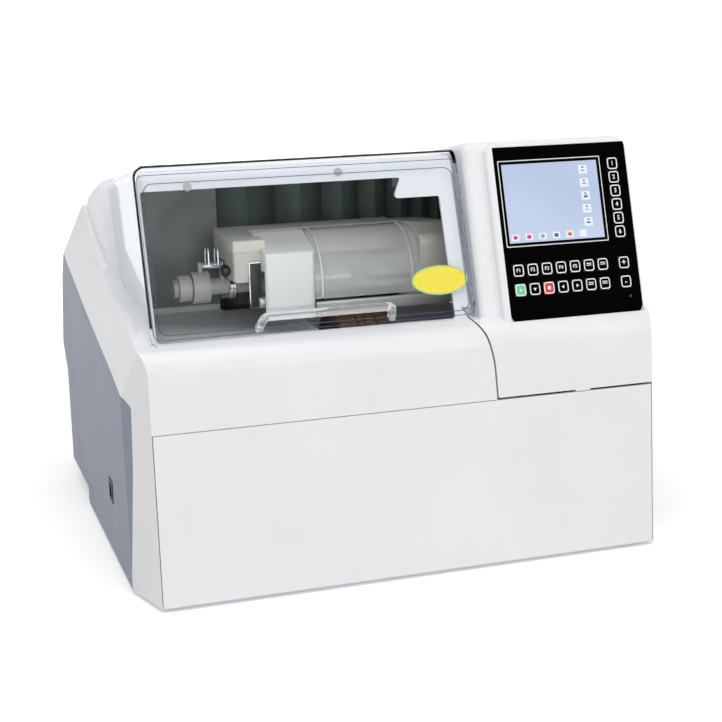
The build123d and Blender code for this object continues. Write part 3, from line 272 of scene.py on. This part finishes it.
def wet_tub(name, walls, floor):
    """Polypropylene tub of the wet chamber: a pale tray below a level as painted light, and darker walls
    above it as painted shade, the walls clouded by dried slurry.
    """
    material, tree, shader = new_material(name, walls, 0.42, IOR=1.49)
    above = mottle(tree, 45, shaded(walls, 0.6), walls, 0.25, 0.65, 5.0)
    below = mottle(tree, 30, shaded(floor, 0.86), floor, 0.3, 0.6, 5.0)
    # painted light on the tray and painted shade on the walls, split at one height
    colour_by(tree, shader, two_tone(tree, 2, TUB_SHADE_LEVEL, 1.0, below, above))
    skin(tree, shader, 2.0, 0.04, 0.25, 0.55, 0.3)
    return material


def coated_fabric(name, base):
    """Rubber-coated fabric of the bellows: dark green-grey with a faint weave, darkened nearly to black deep
    in each fold as painted shade.
    """
    material, tree, shader = new_material(name, base, 0.55, IOR=1.5)
    cloth = mottle(tree, 30, shaded(base, 0.75), shaded(base, 1.15), 0.3, 0.75, 4.0)
    # painted shade: the fabric nearly black where its folds reach furthest back
    colour_by(tree, shader, two_tone(tree, 1, FOLD_SHADE_LEVEL, 4.0, cloth, shaded(base, 0.25)))
    skin(tree, shader, 0.9, 0.05, 0.5, 0.62)
    return material


def printed_membrane(name, base, roughness=0.42):
    """Screen-printed membrane: deep even black with hardly any shine."""
    material, tree, shader = new_material(name, base, roughness, IOR=1.5, Specular_IOR_Level=0.004)
    colour_by(tree, shader, mottle(tree, 30, shaded(base, 0.8), base))
    skin(tree, shader, 0.5, 0.01, roughness - 0.05, roughness + 0.08, 0.2)
    return material


def lit_display(name, base, edge):
    """Back-lit liquid crystal display: pale blue, a little deeper in patches, glowing evenly."""
    material, tree, shader = new_material(name, shaded(base, 0.08), 0.2, IOR=1.5, Specular_IOR_Level=0.2)
    colour_by(tree, shader, mottle(tree, 140, edge, base, 0.35, 0.65, 1.0), "Emission Color")
    shader.inputs["Emission Strength"].default_value = 0.87
    return material


def lit_figure(name, base):
    """A figure on the lit display, coloured by its own light."""
    material, tree, shader = new_material(name, shaded(base, 0.1), 0.3, Specular_IOR_Level=0.2)
    colour_by(tree, shader, mottle(tree, 2, shaded(base, 0.9), base), "Emission Color")
    shader.inputs["Emission Strength"].default_value = 0.95
    return material


def printed_ink(name, base):
    """Screen-printed ink: matt, its colour a little uneven where the film is thin."""
    material, tree, shader = new_material(name, base, 0.5, IOR=1.5)
    colour_by(tree, shader, mottle(tree, 3, shaded(base, 0.92), base))
    skin(tree, shader, 0.4, 0.01, 0.45, 0.56, 0.2)
    return material


def two_tone_rocker(name, upper, lower):
    """Moulded nylon rocker: black upper half, red lower half, smooth and a little shiny."""
    material, tree, shader = new_material(name, upper, 0.35, IOR=1.5)
    colour_by(tree, shader, two_tone(tree, 2, ROCKER_MIDDLE, 0.3, lower, upper))
    skin(tree, shader, 0.6, 0.01, 0.3, 0.42)
    return material


def two_colour_cover(name, box, cover):
    """Arm cover moulded in two colours of ABS: a beige side box on a white cover."""
    material, tree, shader = new_material(name, cover, 0.45, IOR=1.53)
    white = mottle(tree, 90, shaded(cover, 0.97), cover)
    colour_by(tree, shader, two_tone(tree, 0, SIDE_BOX_EDGE, 0.3, box, white))
    skin(tree, shader, 0.9, 0.012, 0.4, 0.52)
    return material


def enamelled(name, base):
    """Stove-enamelled motor body: glossy dark paint with orange peel."""
    material, tree, shader = new_material(name, base, 0.33, IOR=1.5)
    colour_by(tree, shader, mottle(tree, 60, shaded(base, 0.85), base))
    skin(tree, shader, 1.8, 0.03, 0.28, 0.4)
    return material


FINISH = {}


def make_finishes(colours):
    """Make each finish once, under the name of its material slot or of the piece that it suits."""
    FINISH.update({
        "white_cover": moulded_abs("white_moulded_abs", tuple(colours.cover)),
        "grey_housing": powder_coat("blue_grey_powder_coat", tuple(colours.housing)),
        "clear_lid": clear_plastic(
            "clear_polycarbonate", linear("#fafcfd"), 0.01, IOR=1.1, Transmission_Weight=1.0),
        "clear_shield": clear_plastic(
            "scuffed_polycarbonate", linear("#fdfdfc"), 0.08, IOR=1.4, Transmission_Weight=0.68),
        # the tub's pale tray and darker walls are painted light and painted shade
        "chamber_grey": wet_tub("wet_grey_polypropylene", linear("#97a09c"), linear("#f8f8f6")),
        # the bellows carry painted shade deep in their folds
        "bellows_rubber": coated_fabric("bellows_coated_fabric", linear("#5d6c67")),
        "panel_black": printed_membrane("black_membrane", linear("#050506")),
        "screen": lit_display("lit_display", linear("#cddaf2"), linear("#b6c6e4")),
        "key_black": printed_membrane("key_black_silicone", linear("#070708"), 0.5),
        "key_green": printed_ink("key_green_silicone", linear("#6fc89a")),
        "key_red": printed_ink("key_red_silicone", linear("#d8202a")),
        "black_rubber": moulded_rubber("black_nitrile_rubber", linear("#141414")),
        "black_plastic": moulded_abs("black_moulded_abs", linear("#161617"), 0.45),
        "steel": turned_metal("ground_steel", linear("#b9bbbd"), 0.28),
        "chrome": turned_metal("polished_chrome", linear("#dadbdd"), 0.1, 2.0),
        "aluminium": blasted_aluminium("anodised_aluminium", linear("#b8baba")),
        "bronze_wheel": sintered_bronze("sintered_bronze", linear("#94704a")),
        "brass": turned_metal("turned_brass", linear("#c09a55"), 0.3),
        "arm_beige": moulded_abs("arm_beige_abs", linear("#ebe5db"), 0.45),
        "left_cover": two_colour_cover("two_colour_arm_abs", linear("#dcd6cc"), linear("#fafaf8")),
        "handle": clear_plastic(
            "moulded_clear_polycarbonate", linear("#f4f6f8"), 0.03, IOR=1.35, Transmission_Weight=0.85),
        # the next two are painted shade: an indigo line on the lid's edge and a bluish line inside it, for
        # the edge and side wall seen through the clear face
        "lid_rim": clear_plastic(
            "indigo_polycarbonate_edge", linear("#6a719f"), 0.05, IOR=1.2, Transmission_Weight=0.6),
        "lid_line": clear_plastic(
            "tinted_polycarbonate", linear("#7c87a6"), 0.05, IOR=1.2, Transmission_Weight=0.7),
        "motor_paint": enamelled("black_motor_enamel", linear("#1b1c1e")),
        # white print on the keys and display, also used as a painted highlight on the splash shield's rims
        "white_print_and_highlight": printed_ink("white_screen_print", linear("#f4f4f4")),
        "label_yellow": printed_ink("yellow_label_film", tuple(colours.label)),
        "label_rim": printed_ink("pale_green_label_film", linear("#a9cf8e")),
        "rocker": two_tone_rocker("rocker_nylon", linear("#1a1a1b"), linear("#c8141e")),
        "motor_grey": moulded_abs("pale_grey_nylon", linear("#b9b8b2"), 0.45),
        "icon_white": lit_figure("lit_icon_white", linear("#e8eefb")),
        "icon_red": lit_figure("lit_icon_red", linear("#d8405c")),
        "icon_orange": lit_figure("lit_icon_orange", linear("#e06a3c")),
        "icon_blue": lit_figure("lit_icon_blue", linear("#5a6688")),
        "icon_grey": lit_figure("lit_icon_grey", linear("#93a0bc")),
    })


# nodes whose finish differs from the rest of their slot
OWN_FINISH = {"power_rocker": "rocker", "chuck_motor": "motor_grey", "left_arm_cover": "left_cover",
              "lid_handle": "handle"}

# covers whose sharp edges get a small moulded radius
SOFTENED = ("top_cover", "console_cover", "front_cover", "base_housing", "left_arm_cover", "right_arm_cover")


def dress_frame(edge_radius):
    """Give every CAD node its finish, and the covers a small radius on their edges."""
    for row in frame["record"]["subparts"]:
        node = frame["nodes"][row["node"]]
        node.data.materials.clear()
        node.data.materials.append(FINISH[OWN_FINISH.get(row["node"], row["material_slot"])])
    for name in SOFTENED:
        node = frame["nodes"][name]
        weld = node.modifiers.new("weld", "WELD")
        weld.merge_threshold = 0.005 * MM
        flat = node.modifiers.new("flat", "DECIMATE")
        flat.decimate_type = "DISSOLVE"
        flat.angle_limit = math.radians(0.5)
        soft = node.modifiers.new("soft_edge", "BEVEL")
        soft.width = edge_radius
        soft.segments = 2
        soft.limit_method = "ANGLE"
        soft.angle_limit = math.radians(40)
        soft.harden_normals = True


# ------------------------------------------------------------------ modelling by hand, in code
def only(piece):
    """Select one object and nothing else, and make it active."""
    bpy.ops.object.select_all(action="DESELECT")
    piece.select_set(True)
    bpy.context.view_layer.objects.active = piece


def fix_place(piece):
    """Put the object's place, turn and size into its mesh."""
    only(piece)
    bpy.ops.object.transform_apply(location=True, rotation=True, scale=True)


def start(kind, name, scale=(1, 1, 1), **options):
    """Add a primitive and stretch it."""
    bpy.ops.object.select_all(action="DESELECT")
    getattr(bpy.ops.mesh, f"primitive_{kind}_add")(**options)
    piece = bpy.context.object
    piece.name = piece.data.name = name
    piece.scale = scale
    fix_place(piece)
    return piece


def pick(piece, kind, test=None):
    """Enter edit mode with the verts, edges or faces selected that pass the test, or all of them."""
    only(piece)
    bpy.ops.object.mode_set(mode="EDIT")
    bpy.ops.mesh.select_mode(type={"verts": "VERT", "edges": "EDGE", "faces": "FACE"}[kind])
    bpy.ops.mesh.select_all(action="DESELECT")
    mesh = bmesh.from_edit_mesh(piece.data)
    for element in getattr(mesh, kind):
        element.select_set(test is None or test(element))
    mesh.select_flush_mode()
    bmesh.update_edit_mesh(piece.data)


def leave():
    """Leave edit mode."""
    bpy.ops.object.mode_set(mode="OBJECT")


def apply_modifier(piece, kind, **settings):
    """Add a modifier and make its result the mesh."""
    only(piece)
    modifier = piece.modifiers.new(kind.lower(), kind)
    for name, value in settings.items():
        setattr(modifier, name, value)
    bpy.ops.object.modifier_apply(modifier=modifier.name)


def smooth(piece, degrees=35):
    """Smooth shading across every edge that bends less than this."""
    only(piece)
    bpy.ops.object.shade_smooth_by_angle(angle=math.radians(degrees))


def settle(piece, finish, body, place=None):
    """Put a finished piece in its place, give it its finish and let it ride."""
    if place is not None:
        piece.matrix_world = place
        fix_place(piece)
    piece.data.materials.clear()
    piece.data.materials.append(FINISH[finish])
    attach(piece, body)


def copy_of(piece, name):
    """A copy with a mesh of its own."""
    twin = piece.copy()
    twin.data = piece.data.copy()
    twin.name = twin.data.name = name
    bpy.context.scene.collection.objects.link(twin)
    return twin


def ring_out(piece, line):
    """Keep only a line of a flat piece along its edge."""
    pick(piece, "faces")
    bpy.ops.mesh.inset(thickness=line * MM)
    bpy.ops.mesh.delete(type="FACE")
    leave()


def rounded_plate(name, width, height, corner, thick, line=None, segments=5):
    """Flat plate, or a line round one, with round corners, lying on the XY plane; sizes in mm."""
    piece = start("plane", name, (width * MM, height * MM, 1), size=1)
    pick(piece, "verts")
    bpy.ops.mesh.bevel(offset=corner * MM, segments=segments, affect="VERTICES")
    leave()
    if line:
        ring_out(piece, line)
    apply_modifier(piece, "SOLIDIFY", thickness=thick * MM, offset=1)
    return piece


def disc_plate(name, radius_x, radius_y, thick, line=None, sides=48):
    """Flat oval, or a line round one, on the XY plane; sizes in mm."""
    size = (radius_x * MM, radius_y * MM, 1)
    piece = start("circle", name, size, radius=1, vertices=sides, fill_type="NGON")
    if line:
        ring_out(piece, line)
    apply_modifier(piece, "SOLIDIFY", thickness=thick * MM, offset=1)
    return piece


def figure(name, text, height, rise, bolder=0.12):
    """Bold figures as a mesh, centred on the XY plane; sizes in mm."""
    bpy.ops.object.select_all(action="DESELECT")
    bpy.ops.object.text_add()
    words = bpy.context.object.data
    words.body = text
    words.size = height * MM
    words.offset = bolder * MM
    words.align_x = "CENTER"
    words.align_y = "CENTER"
    bpy.ops.object.convert(target="MESH")
    piece = bpy.context.object
    piece.name = piece.data.name = name
    apply_modifier(piece, "SOLIDIFY", thickness=rise * MM, offset=1)
    return piece


def block(name, corner, low, high, radius):
    """Block with rounded edges; its low and high corners are measured from another corner, all in mm."""
    size = [(b - a) * MM for a, b in zip(low, high)]
    middle = [(c + (a + b) / 2) * MM for c, a, b in zip(corner, low, high)]
    piece = start("cube", name, size, size=1, location=middle)
    pick(piece, "edges")
    bpy.ops.mesh.bevel(offset=radius * MM, segments=3, affect="EDGES")
    leave()
    smooth(piece)
    return piece


def turned(name, profile, steps=40):
    """Solid of revolution about X, from (x, radius) points in mm."""
    piece = start("circle", name, radius=1, vertices=len(profile), fill_type="NOTHING")
    for vertex, (x, radius) in zip(piece.data.vertices, profile):
        vertex.co = (x * MM, 0, radius * MM)
    pick(piece, "verts")
    bpy.ops.mesh.spin(steps=steps, angle=math.tau, center=(0, 0, 0), axis=(1, 0, 0))
    bpy.ops.mesh.select_all(action="SELECT")
    bpy.ops.mesh.remove_doubles(threshold=0.002 * MM)
    bpy.ops.mesh.normals_make_consistent(inside=False)
    leave()
    smooth(piece)
    return piece


# ------------------------------------------------------------------ places
def panel_place(x, down, rise=0.0):
    """On the control panel, x and down in mm from its upper left corner; local Y runs up the slope."""
    corner_low, corner_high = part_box("panel_fascia")
    corner = Vector((corner_low.x, corner_high.y - PANEL_THICK * MM * math.cos(PANEL_TILT), corner_high.z))
    plane = Matrix.Translation(corner) @ Matrix.Rotation(math.pi / 2 - PANEL_TILT, 4, "X")
    return plane @ Matrix.Translation((x * MM, -down * MM, rise * MM))


def lid_place(x, up, rise=0.0):
    """On the lid's face, x in mm from the middle of the machine and up the slope from its foot."""
    foot = Vector((0, *LID_FOOT)) * MM
    plane = Matrix.Translation(foot) @ Matrix.Rotation(math.pi / 2 - LID_LEAN, 4, "X")
    return plane @ Matrix.Translation((x * MM, up * MM, rise * MM))


def key_places():
    """Each key's place on the panel, in mm from its upper left corner, and its legend."""
    places = {}
    for number in range(6):
        down = SIDE_KEY_TOP + SIDE_KEY_PITCH * number
        places[f"key_side_{number + 1}"] = (KEY_COLUMN_X, down, str(number + 1))
    for number, legend in enumerate(("F1", "F2", "F3", "F4", "F5", "bars", "bars")):
        places[f"key_upper_{number + 1}"] = (ROW_START + ROW_PITCH * number, UPPER_ROW, legend)
    for number, legend in enumerate(("right", "down", "stop", "left", "right", "bars", "bars")):
        places[f"key_lower_{number + 1}"] = (ROW_START + ROW_PITCH * number, LOWER_ROW, legend)
    places["key_plus"] = (KEY_COLUMN_X, UPPER_ROW, "+")
    places["key_minus"] = (KEY_COLUMN_X, LOWER_ROW, "-")
    return places


# turn of an arrow that points up, in degrees
TURNS = {"down": 180, "left": 90, "right": -90}

# heights of a digit, of a pair of figures and of a sign, in mm
DIGIT, PAIR, SIGN = 6.4, 5.2, 9.0


def key_legend(name, legend):
    """A raised arrow, square, pair of bars, sign or figure."""
    if legend in TURNS:
        piece = start("circle", name, radius=2.0 * MM, vertices=3, fill_type="NGON",
                      rotation=(0, 0, math.radians(TURNS[legend])))
        apply_modifier(piece, "SOLIDIFY", thickness=INK * MM, offset=1)
    elif legend == "stop":
        piece = rounded_plate(name, 3.6, 3.6, corner=0.4, thick=INK, segments=2)
    elif legend == "bars":
        piece = rounded_plate(name, 5.6, 0.9, corner=0.3, thick=INK, segments=2)
        apply_modifier(piece, "ARRAY", use_relative_offset=False, use_constant_offset=True,
                       constant_offset_displace=(0, 1.9 * MM, 0))
    elif legend in ("+", "-"):
        piece = figure(name, legend, SIGN, INK)
    else:
        piece = figure(name, legend, DIGIT if len(legend) == 1 else PAIR, INK)
    return piece


class EdgerSettings(bpy.types.PropertyGroup):
    """Colours and sizes that a user would change"""
    cover: bpy.props.FloatVectorProperty(
        name="Covers", description="Moulded covers", subtype="COLOR", size=4, default=linear("#e9e9ec"))
    housing: bpy.props.FloatVectorProperty(
        name="Housing", description="Coated base housing", subtype="COLOR", size=4, default=linear("#868e9e"))
    label: bpy.props.FloatVectorProperty(
        name="Label", description="Blank oval label on the lid", subtype="COLOR", size=4,
        default=linear("#f2e043"))
    edge_radius: bpy.props.FloatProperty(
        name="Edge radius", description="Small radius on the covers' edges", unit="LENGTH", default=0.7 * MM)
    ring_line: bpy.props.FloatProperty(
        name="Key outline", description="Width of the line round each key", unit="LENGTH", default=1.1 * MM)
    label_length: bpy.props.FloatProperty(
        name="Label length", description="Length of the oval label", unit="LENGTH", default=60 * MM)
    label_height: bpy.props.FloatProperty(
        name="Label height", description="Height of the oval label", unit="LENGTH", default=30 * MM)


# ------------------------------------------------------------------ operators, one for each group of pieces
class EDGER_OT_finishes(bpy.types.Operator):
    """Make the finishes and put them on the parts that come from the frame"""
    bl_idname = "edger.finishes"
    bl_label = "Finishes"

    def execute(self, context):
        make_finishes(context.scene.edger)
        dress_frame(context.scene.edger.edge_radius)
        return {"FINISHED"}


class EDGER_OT_keys(bpy.types.Operator):
    """Print a line round each key and a plain figure on it"""
    bl_idname = "edger.keys"
    bl_label = "Key prints"

    def execute(self, context):
        line = context.scene.edger.ring_line / MM
        ring = rounded_plate("key_ring", *KEY_RING, corner=2.9, thick=INK, line=line)
        for key, (x, down, legend) in key_places().items():
            place = panel_place(x, down, KEY_PROUD)
            settle(copy_of(ring, f"{key}_ring"), "white_print_and_highlight", f"{key}_body", place)
            settle(key_legend(f"{key}_legend", legend), "white_print_and_highlight", f"{key}_body", place)
        bpy.data.objects.remove(ring)
        return {"FINISHED"}


class EDGER_OT_display(bpy.types.Operator):
    """Frame the display and draw its plain icons"""
    bl_idname = "edger.display"
    bl_label = "Display"

    def execute(self, context):
        width, height = SCREEN_SIZE
        outline = rounded_plate("screen_outline", width + 2.4, height + 2.4, corner=0.6, thick=0.06, line=0.8)
        settle(outline, "white_print_and_highlight", "machine", panel_place(*SCREEN_AT))
        border = rounded_plate("screen_border", width - 0.3, height - 0.3, corner=0.4, thick=0.08, line=2.6)
        settle(border, "panel_black", "machine", panel_place(*SCREEN_AT, -SCREEN_DEPTH))
        self.add_icons()
        self.add_menu()
        lamp = disc_plate("panel_lamp", 1.3, 1.3, thick=0.25, sides=20)
        settle(lamp, "black_plastic", "machine", panel_place(*LAMP_AT))
        return {"FINISHED"}

    def add_icons(self):
        """A column of white tiles, each with a line and a dot on it."""
        tile = rounded_plate("icon_tile", 9.6, 9.0, corner=0.8, thick=GLOW_FILM)
        for number in range(5):
            place = panel_place(ICON_X, ICON_TOP + ICON_PITCH * number, -SCREEN_DEPTH)
            settle(copy_of(tile, f"icon_tile_{number + 1}"), "icon_white", "machine", place)
            mark = rounded_plate(f"icon_line_{number + 1}", 4.4, 1.0 + 0.7 * (number % 3), corner=0.3,
                                 thick=GLOW_FILM, segments=2)
            settle(mark, "icon_grey" if number % 2 else "icon_blue", "machine",
                   place @ Matrix.Translation(Vector((0, -1.0, GLOW_FILM)) * MM))
            dot = disc_plate(f"icon_dot_{number + 1}", 1.1, 1.1, thick=GLOW_FILM, sides=16)
            settle(dot, "icon_blue", "machine",
                   place @ Matrix.Translation(Vector((0, 2.2, GLOW_FILM)) * MM))
        bpy.data.objects.remove(tile)

    def add_menu(self):
        """A row of white tiles, with a coloured disc and a coloured square on them by turns."""
        finishes = ("icon_red", "icon_red", "icon_grey", "icon_blue", "icon_orange", "icon_white")
        for number, finish in enumerate(finishes):
            place = panel_place(MENU_START + MENU_PITCH * number, MENU_ROW, -SCREEN_DEPTH)
            base = rounded_plate(f"menu_tile_{number + 1}", 8.4, 6.8, corner=0.8, thick=GLOW_FILM)
            settle(base, "icon_white", "machine", place)
            name = f"menu_mark_{number + 1}"
            if number % 2:
                mark = rounded_plate(name, 4.6, 3.8, corner=0.9, thick=GLOW_FILM, segments=3)
            else:
                mark = disc_plate(name, 2.4, 2.0, thick=GLOW_FILM, sides=20)
            settle(mark, finish, "machine", place @ Matrix.Translation((0, 0, GLOW_FILM * MM)))


class EDGER_OT_label(bpy.types.Operator):
    """Stick a blank oval label with a pale rim on the lid"""
    bl_idname = "edger.label"
    bl_label = "Label"

    def execute(self, context):
        sizes = context.scene.edger
        length, height = sizes.label_length / MM, sizes.label_height / MM
        film = disc_plate("label_film", length / 2, height / 2, thick=0.12)
        settle(film, "label_yellow", "lid", lid_place(*LABEL_AT, 0.02))
        rim = disc_plate("label_rim", length / 2 + 0.05, height / 2 + 0.05, thick=0.18, line=1.6)
        settle(rim, "label_rim", "lid", lid_place(*LABEL_AT, 0.01))
        return {"FINISHED"}


class EDGER_OT_lid_line(bpy.types.Operator):
    """Add the bluish line that runs round the lid inside its edge and the indigo line on the edge, painted
    shade for the side wall and edge seen through the clear face
    """
    bl_idname = "edger.lid_line"
    bl_label = "Lid line"

    def execute(self, context):
        low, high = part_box("lid_shell")
        middle = (low.x + high.x) / 2 / MM
        width = (high.x - low.x) / MM
        height = LID_SLOPE - LID_BEND
        # painted shade: a bluish line for the lid's side wall seen through its face
        line = rounded_plate("lid_line", width - 2 * LINE_INSET, height - 2 * LINE_INSET, corner=9.0,
                             thick=0.25, line=0.8)
        settle(line, "lid_line", "lid", lid_place(middle, height / 2, 0.01))
        # painted shade: an indigo line for the lid's edge seen through its face
        rim = rounded_plate("lid_rim", width - 1.2, height, corner=7.0, thick=0.2, line=0.7)
        settle(rim, "lid_rim", "lid", lid_place(middle, height / 2 + 2.0, 0.01))
        return {"FINISHED"}


class EDGER_OT_mechanism(bpy.types.Operator):
    """Add the beam that joins the arms, and the knob, clamp and bracket beside the left one"""
    bl_idname = "edger.mechanism"
    bl_label = "Carriage details"

    def execute(self, context):
        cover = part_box("left_arm_cover")
        axis = (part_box("left_chuck")[0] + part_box("left_chuck")[1]) / 2
        corner = cover[0] / MM
        for name, (low, high, radius, finish) in BLOCKS.items():
            settle(block(name, corner, low, high, radius), finish, "head")
        low, high = (Vector(point) for point in BLOCKS["side_window"][:2])
        size = high - low
        window_frame = rounded_plate("side_window_frame", size.x + 2 * WINDOW_LAP, size.z + 2 * WINDOW_LAP,
                                     corner=1.0, thick=0.8, line=0.9)
        front = corner + Vector(((low.x + high.x) / 2, low.y + 0.2, (low.z + high.z) / 2))
        settle(window_frame, "chrome", "head",
               Matrix.Translation(front * MM) @ Matrix.Rotation(math.pi / 2, 4, "X"))
        settle(turned("cover_knob", KNOB_PROFILE), "black_plastic", "head",
               Matrix.Translation((cover[0].x + 0.1 * MM, axis.y - 26 * MM, axis.z + 20 * MM)))
        settle(turned("neck_clamp", CLAMP_PROFILE), "chrome", "head",
               Matrix.Translation((cover[0].x + 2 * MM, axis.y, axis.z)))
        return {"FINISHED"}


class EDGER_OT_shield_rims(bpy.types.Operator):
    """Add the raised rims at both ends of the splash shield, coloured white as a painted highlight on their
    clear edges
    """
    bl_idname = "edger.shield_rims"
    bl_label = "Shield rims"

    def execute(self, context):
        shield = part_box("splash_shield")
        axis = (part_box("left_chuck")[0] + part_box("left_chuck")[1]) / 2
        radius = shield[1].z - axis.z
        for (side, inset), end in zip(RIM_INSETS.items(), shield):
            rim = start("circle", f"shield_rim_{side}", radius=RIM_BEAD * MM, vertices=12,
                        fill_type="NOTHING", location=(0, -radius, 0))
            pick(rim, "verts")
            bpy.ops.mesh.spin(steps=28, angle=math.radians(RIM_SWEEP), center=(0, 0, 0), axis=(1, 0, 0))
            bpy.ops.mesh.select_all(action="SELECT")
            bpy.ops.mesh.fill_holes(sides=0)
            bpy.ops.mesh.normals_make_consistent(inside=False)
            leave()
            smooth(rim, 60)
            place = Matrix.Translation((end.x + inset * MM, axis.y, axis.z))
            # white here is a painted highlight on the clear rim's edge
            settle(rim, "white_print_and_highlight", "head",
                   place @ Matrix.Rotation(math.radians(RIM_START), 4, "X"))
        return {"FINISHED"}


class EDGER_OT_fittings(bpy.types.Operator):
    """Add the round buffers under the lid's upper edge"""
    bl_idname = "edger.fittings"
    bl_label = "Small fittings"

    def execute(self, context):
        for side, (x, up) in BUFFERS.items():
            buffer = disc_plate(f"lid_buffer_{side}", 4.2, 4.2, thick=BUFFER_HEIGHT, sides=24)
            pick(buffer, "edges", lambda edge: all(v.co.z > 1 * MM for v in edge.verts))
            bpy.ops.mesh.bevel(offset=0.8 * MM, segments=3, affect="EDGES")
            leave()
            smooth(buffer)
            place = lid_place(x, up, -LID_WALL - BUFFER_HEIGHT - 0.2)
            settle(buffer, "motor_grey", "lid", place)
        return {"FINISHED"}


# ------------------------------------------------------------------ stage
# camera of the photograph, solved from straight edges of the object; the first two are in pixels
PHOTO_SIZE = 722
FOCAL_PIXELS = 1520.67
SENSOR = 36.0
CAMERA_AT = Vector((-493.9, -1608.0, 563.5)) * MM
CAMERA_TARGET = Vector((0, -75.0, 184.65)) * MM
CAMERA_ROLL = math.radians(-1.256)

# lamps, as name, place and side in metres, and power in watts; all aim at LIT
LAMPS = (
    ("key_lamp", (2.0, -2.2, 1.6), 1.6, 15),
    ("front_lamp", (-0.4, -2.5, 0.7), 1.3, 9),
    ("fill_lamp", (-2.2, -1.2, 1.3), 1.6, 1),
    ("top_lamp", (-0.4, -0.5, 2.4), 1.8, 25),
)
LIT = (0, 0, 0.2)
WORLD_LIGHT = 0.46

# the paper's side in metres, and how strongly it glows at a distance in metres from the object
PAPER_SIZE = 30
GLOW_NEAR = (0.6, 0.35)
GLOW_FAR = (2.2, 1.0)


def place_at(name, data, place, target, roll=0.0):
    """Put a lamp or a camera somewhere and aim it."""
    holder = bpy.data.objects.new(name, data)
    bpy.context.scene.collection.objects.link(holder)
    holder.location = place
    holder.rotation_mode = "QUATERNION"
    aim = (Vector(target) - Vector(place)).to_track_quat("-Z", "Y")
    holder.rotation_quaternion = aim @ Quaternion((0, 0, 1), roll)
    return holder


def directly_seen(tree):
    """1 for what the camera sees, also in a mirror or through glass, and 0 for light that falls on things."""
    paths = add_node(tree, "ShaderNodeLightPath").outputs
    seen = add_node(tree, "ShaderNodeMath", {"operation": "MAXIMUM"},
                    {0: paths["Is Camera Ray"], 1: paths["Is Transmission Ray"]})
    return add_node(tree, "ShaderNodeMath", {"operation": "MAXIMUM"},
                    {0: seen.outputs[0], 1: paths["Is Glossy Ray"]})


def white_paper():
    """Seamless white paper: it glows just enough to be seen as white, and keeps the object's soft shadow.

    Far off, where the lamps fade, it glows more.
    """
    material, tree, shader = new_material("white_paper", linear("#f4f4f4"), 0.9)
    shader.inputs["Emission Color"].default_value = (1, 1, 1, 1)
    where = add_node(tree, "ShaderNodeTexCoord").outputs["Object"]
    away = add_node(tree, "ShaderNodeVectorMath", {"operation": "LENGTH"}, {0: where}).outputs["Value"]
    level = add_node(tree, "ShaderNodeMapRange", inputs={
        "Value": away, "From Min": GLOW_NEAR[0], "From Max": GLOW_FAR[0],
        "To Min": GLOW_NEAR[1], "To Max": GLOW_FAR[1]})
    glow = add_node(tree, "ShaderNodeMath", {"operation": "MULTIPLY"},
                    {0: directly_seen(tree).outputs[0], 1: level.outputs[0]})
    tree.links.new(glow.outputs[0], shader.inputs["Emission Strength"])
    return material


def add_world(strength):
    """White all round, that lights the object less strongly than it is seen."""
    world = bpy.data.worlds.new("studio")
    bpy.context.scene.world = world
    world.use_nodes = True
    tree = world.node_tree
    light = tree.nodes["Background"]
    light.inputs["Color"].default_value = (1, 1, 1, 1)
    light.inputs["Strength"].default_value = strength
    white = add_node(tree, "ShaderNodeBackground", inputs={"Color": (1, 1, 1, 1), "Strength": 1.0})
    mixed = add_node(tree, "ShaderNodeMixShader", inputs={
        0: directly_seen(tree).outputs[0], 1: light.outputs[0], 2: white.outputs[0]})
    tree.links.new(mixed.outputs[0], tree.nodes["World Output"].inputs["Surface"])


class EDGER_OT_stage(bpy.types.Operator):
    """Add the floor, the lamps, the world light and the photograph's camera"""
    bl_idname = "edger.stage"
    bl_label = "Stage"

    def execute(self, context):
        floor = start("plane", "floor", size=PAPER_SIZE)
        floor.data.materials.append(white_paper())
        for name, place, side, power in LAMPS:
            lamp = bpy.data.lights.new(name, "AREA")
            lamp.size = side
            lamp.energy = power
            place_at(name, lamp, place, LIT)
        add_world(WORLD_LIGHT)
        context.scene.view_settings.view_transform = "Standard"
        camera = bpy.data.cameras.new("camera")
        camera.lens = FOCAL_PIXELS / PHOTO_SIZE * SENSOR
        camera.sensor_width = SENSOR
        camera.clip_end = 20.0
        context.scene.camera = place_at("camera", camera, CAMERA_AT, CAMERA_TARGET, CAMERA_ROLL)
        return {"FINISHED"}


STEPS = (EDGER_OT_finishes, EDGER_OT_keys, EDGER_OT_display, EDGER_OT_label, EDGER_OT_lid_line,
         EDGER_OT_mechanism, EDGER_OT_shield_rims, EDGER_OT_fittings, EDGER_OT_stage)


class EDGER_PT_tools(bpy.types.Panel):
    """Lists the sizes, colours and steps"""
    bl_label = "Lens Edger"
    bl_idname = "EDGER_PT_tools"
    bl_space_type = "VIEW_3D"
    bl_region_type = "UI"
    bl_category = "Lens Edger"

    def draw(self, context):
        for name in EdgerSettings.__annotations__:
            self.layout.prop(context.scene.edger, name)
        for step in STEPS:
            self.layout.operator(step.bl_idname)


CLASSES = (EdgerSettings, *STEPS, EDGER_PT_tools)


def register():
    for cls in CLASSES:
        bpy.utils.register_class(cls)
    bpy.types.Scene.edger = bpy.props.PointerProperty(type=EdgerSettings)


def unregister():
    del bpy.types.Scene.edger
    for cls in reversed(CLASSES):
        bpy.utils.unregister_class(cls)


def main():
    register()
    bpy.ops.edger.finishes()
    bpy.ops.edger.keys()
    bpy.ops.edger.display()
    bpy.ops.edger.label()
    bpy.ops.edger.lid_line()
    bpy.ops.edger.mechanism()
    bpy.ops.edger.shield_rims()
    bpy.ops.edger.fittings()
    bpy.ops.edger.stage()


if __name__ == "__main__":
    main()
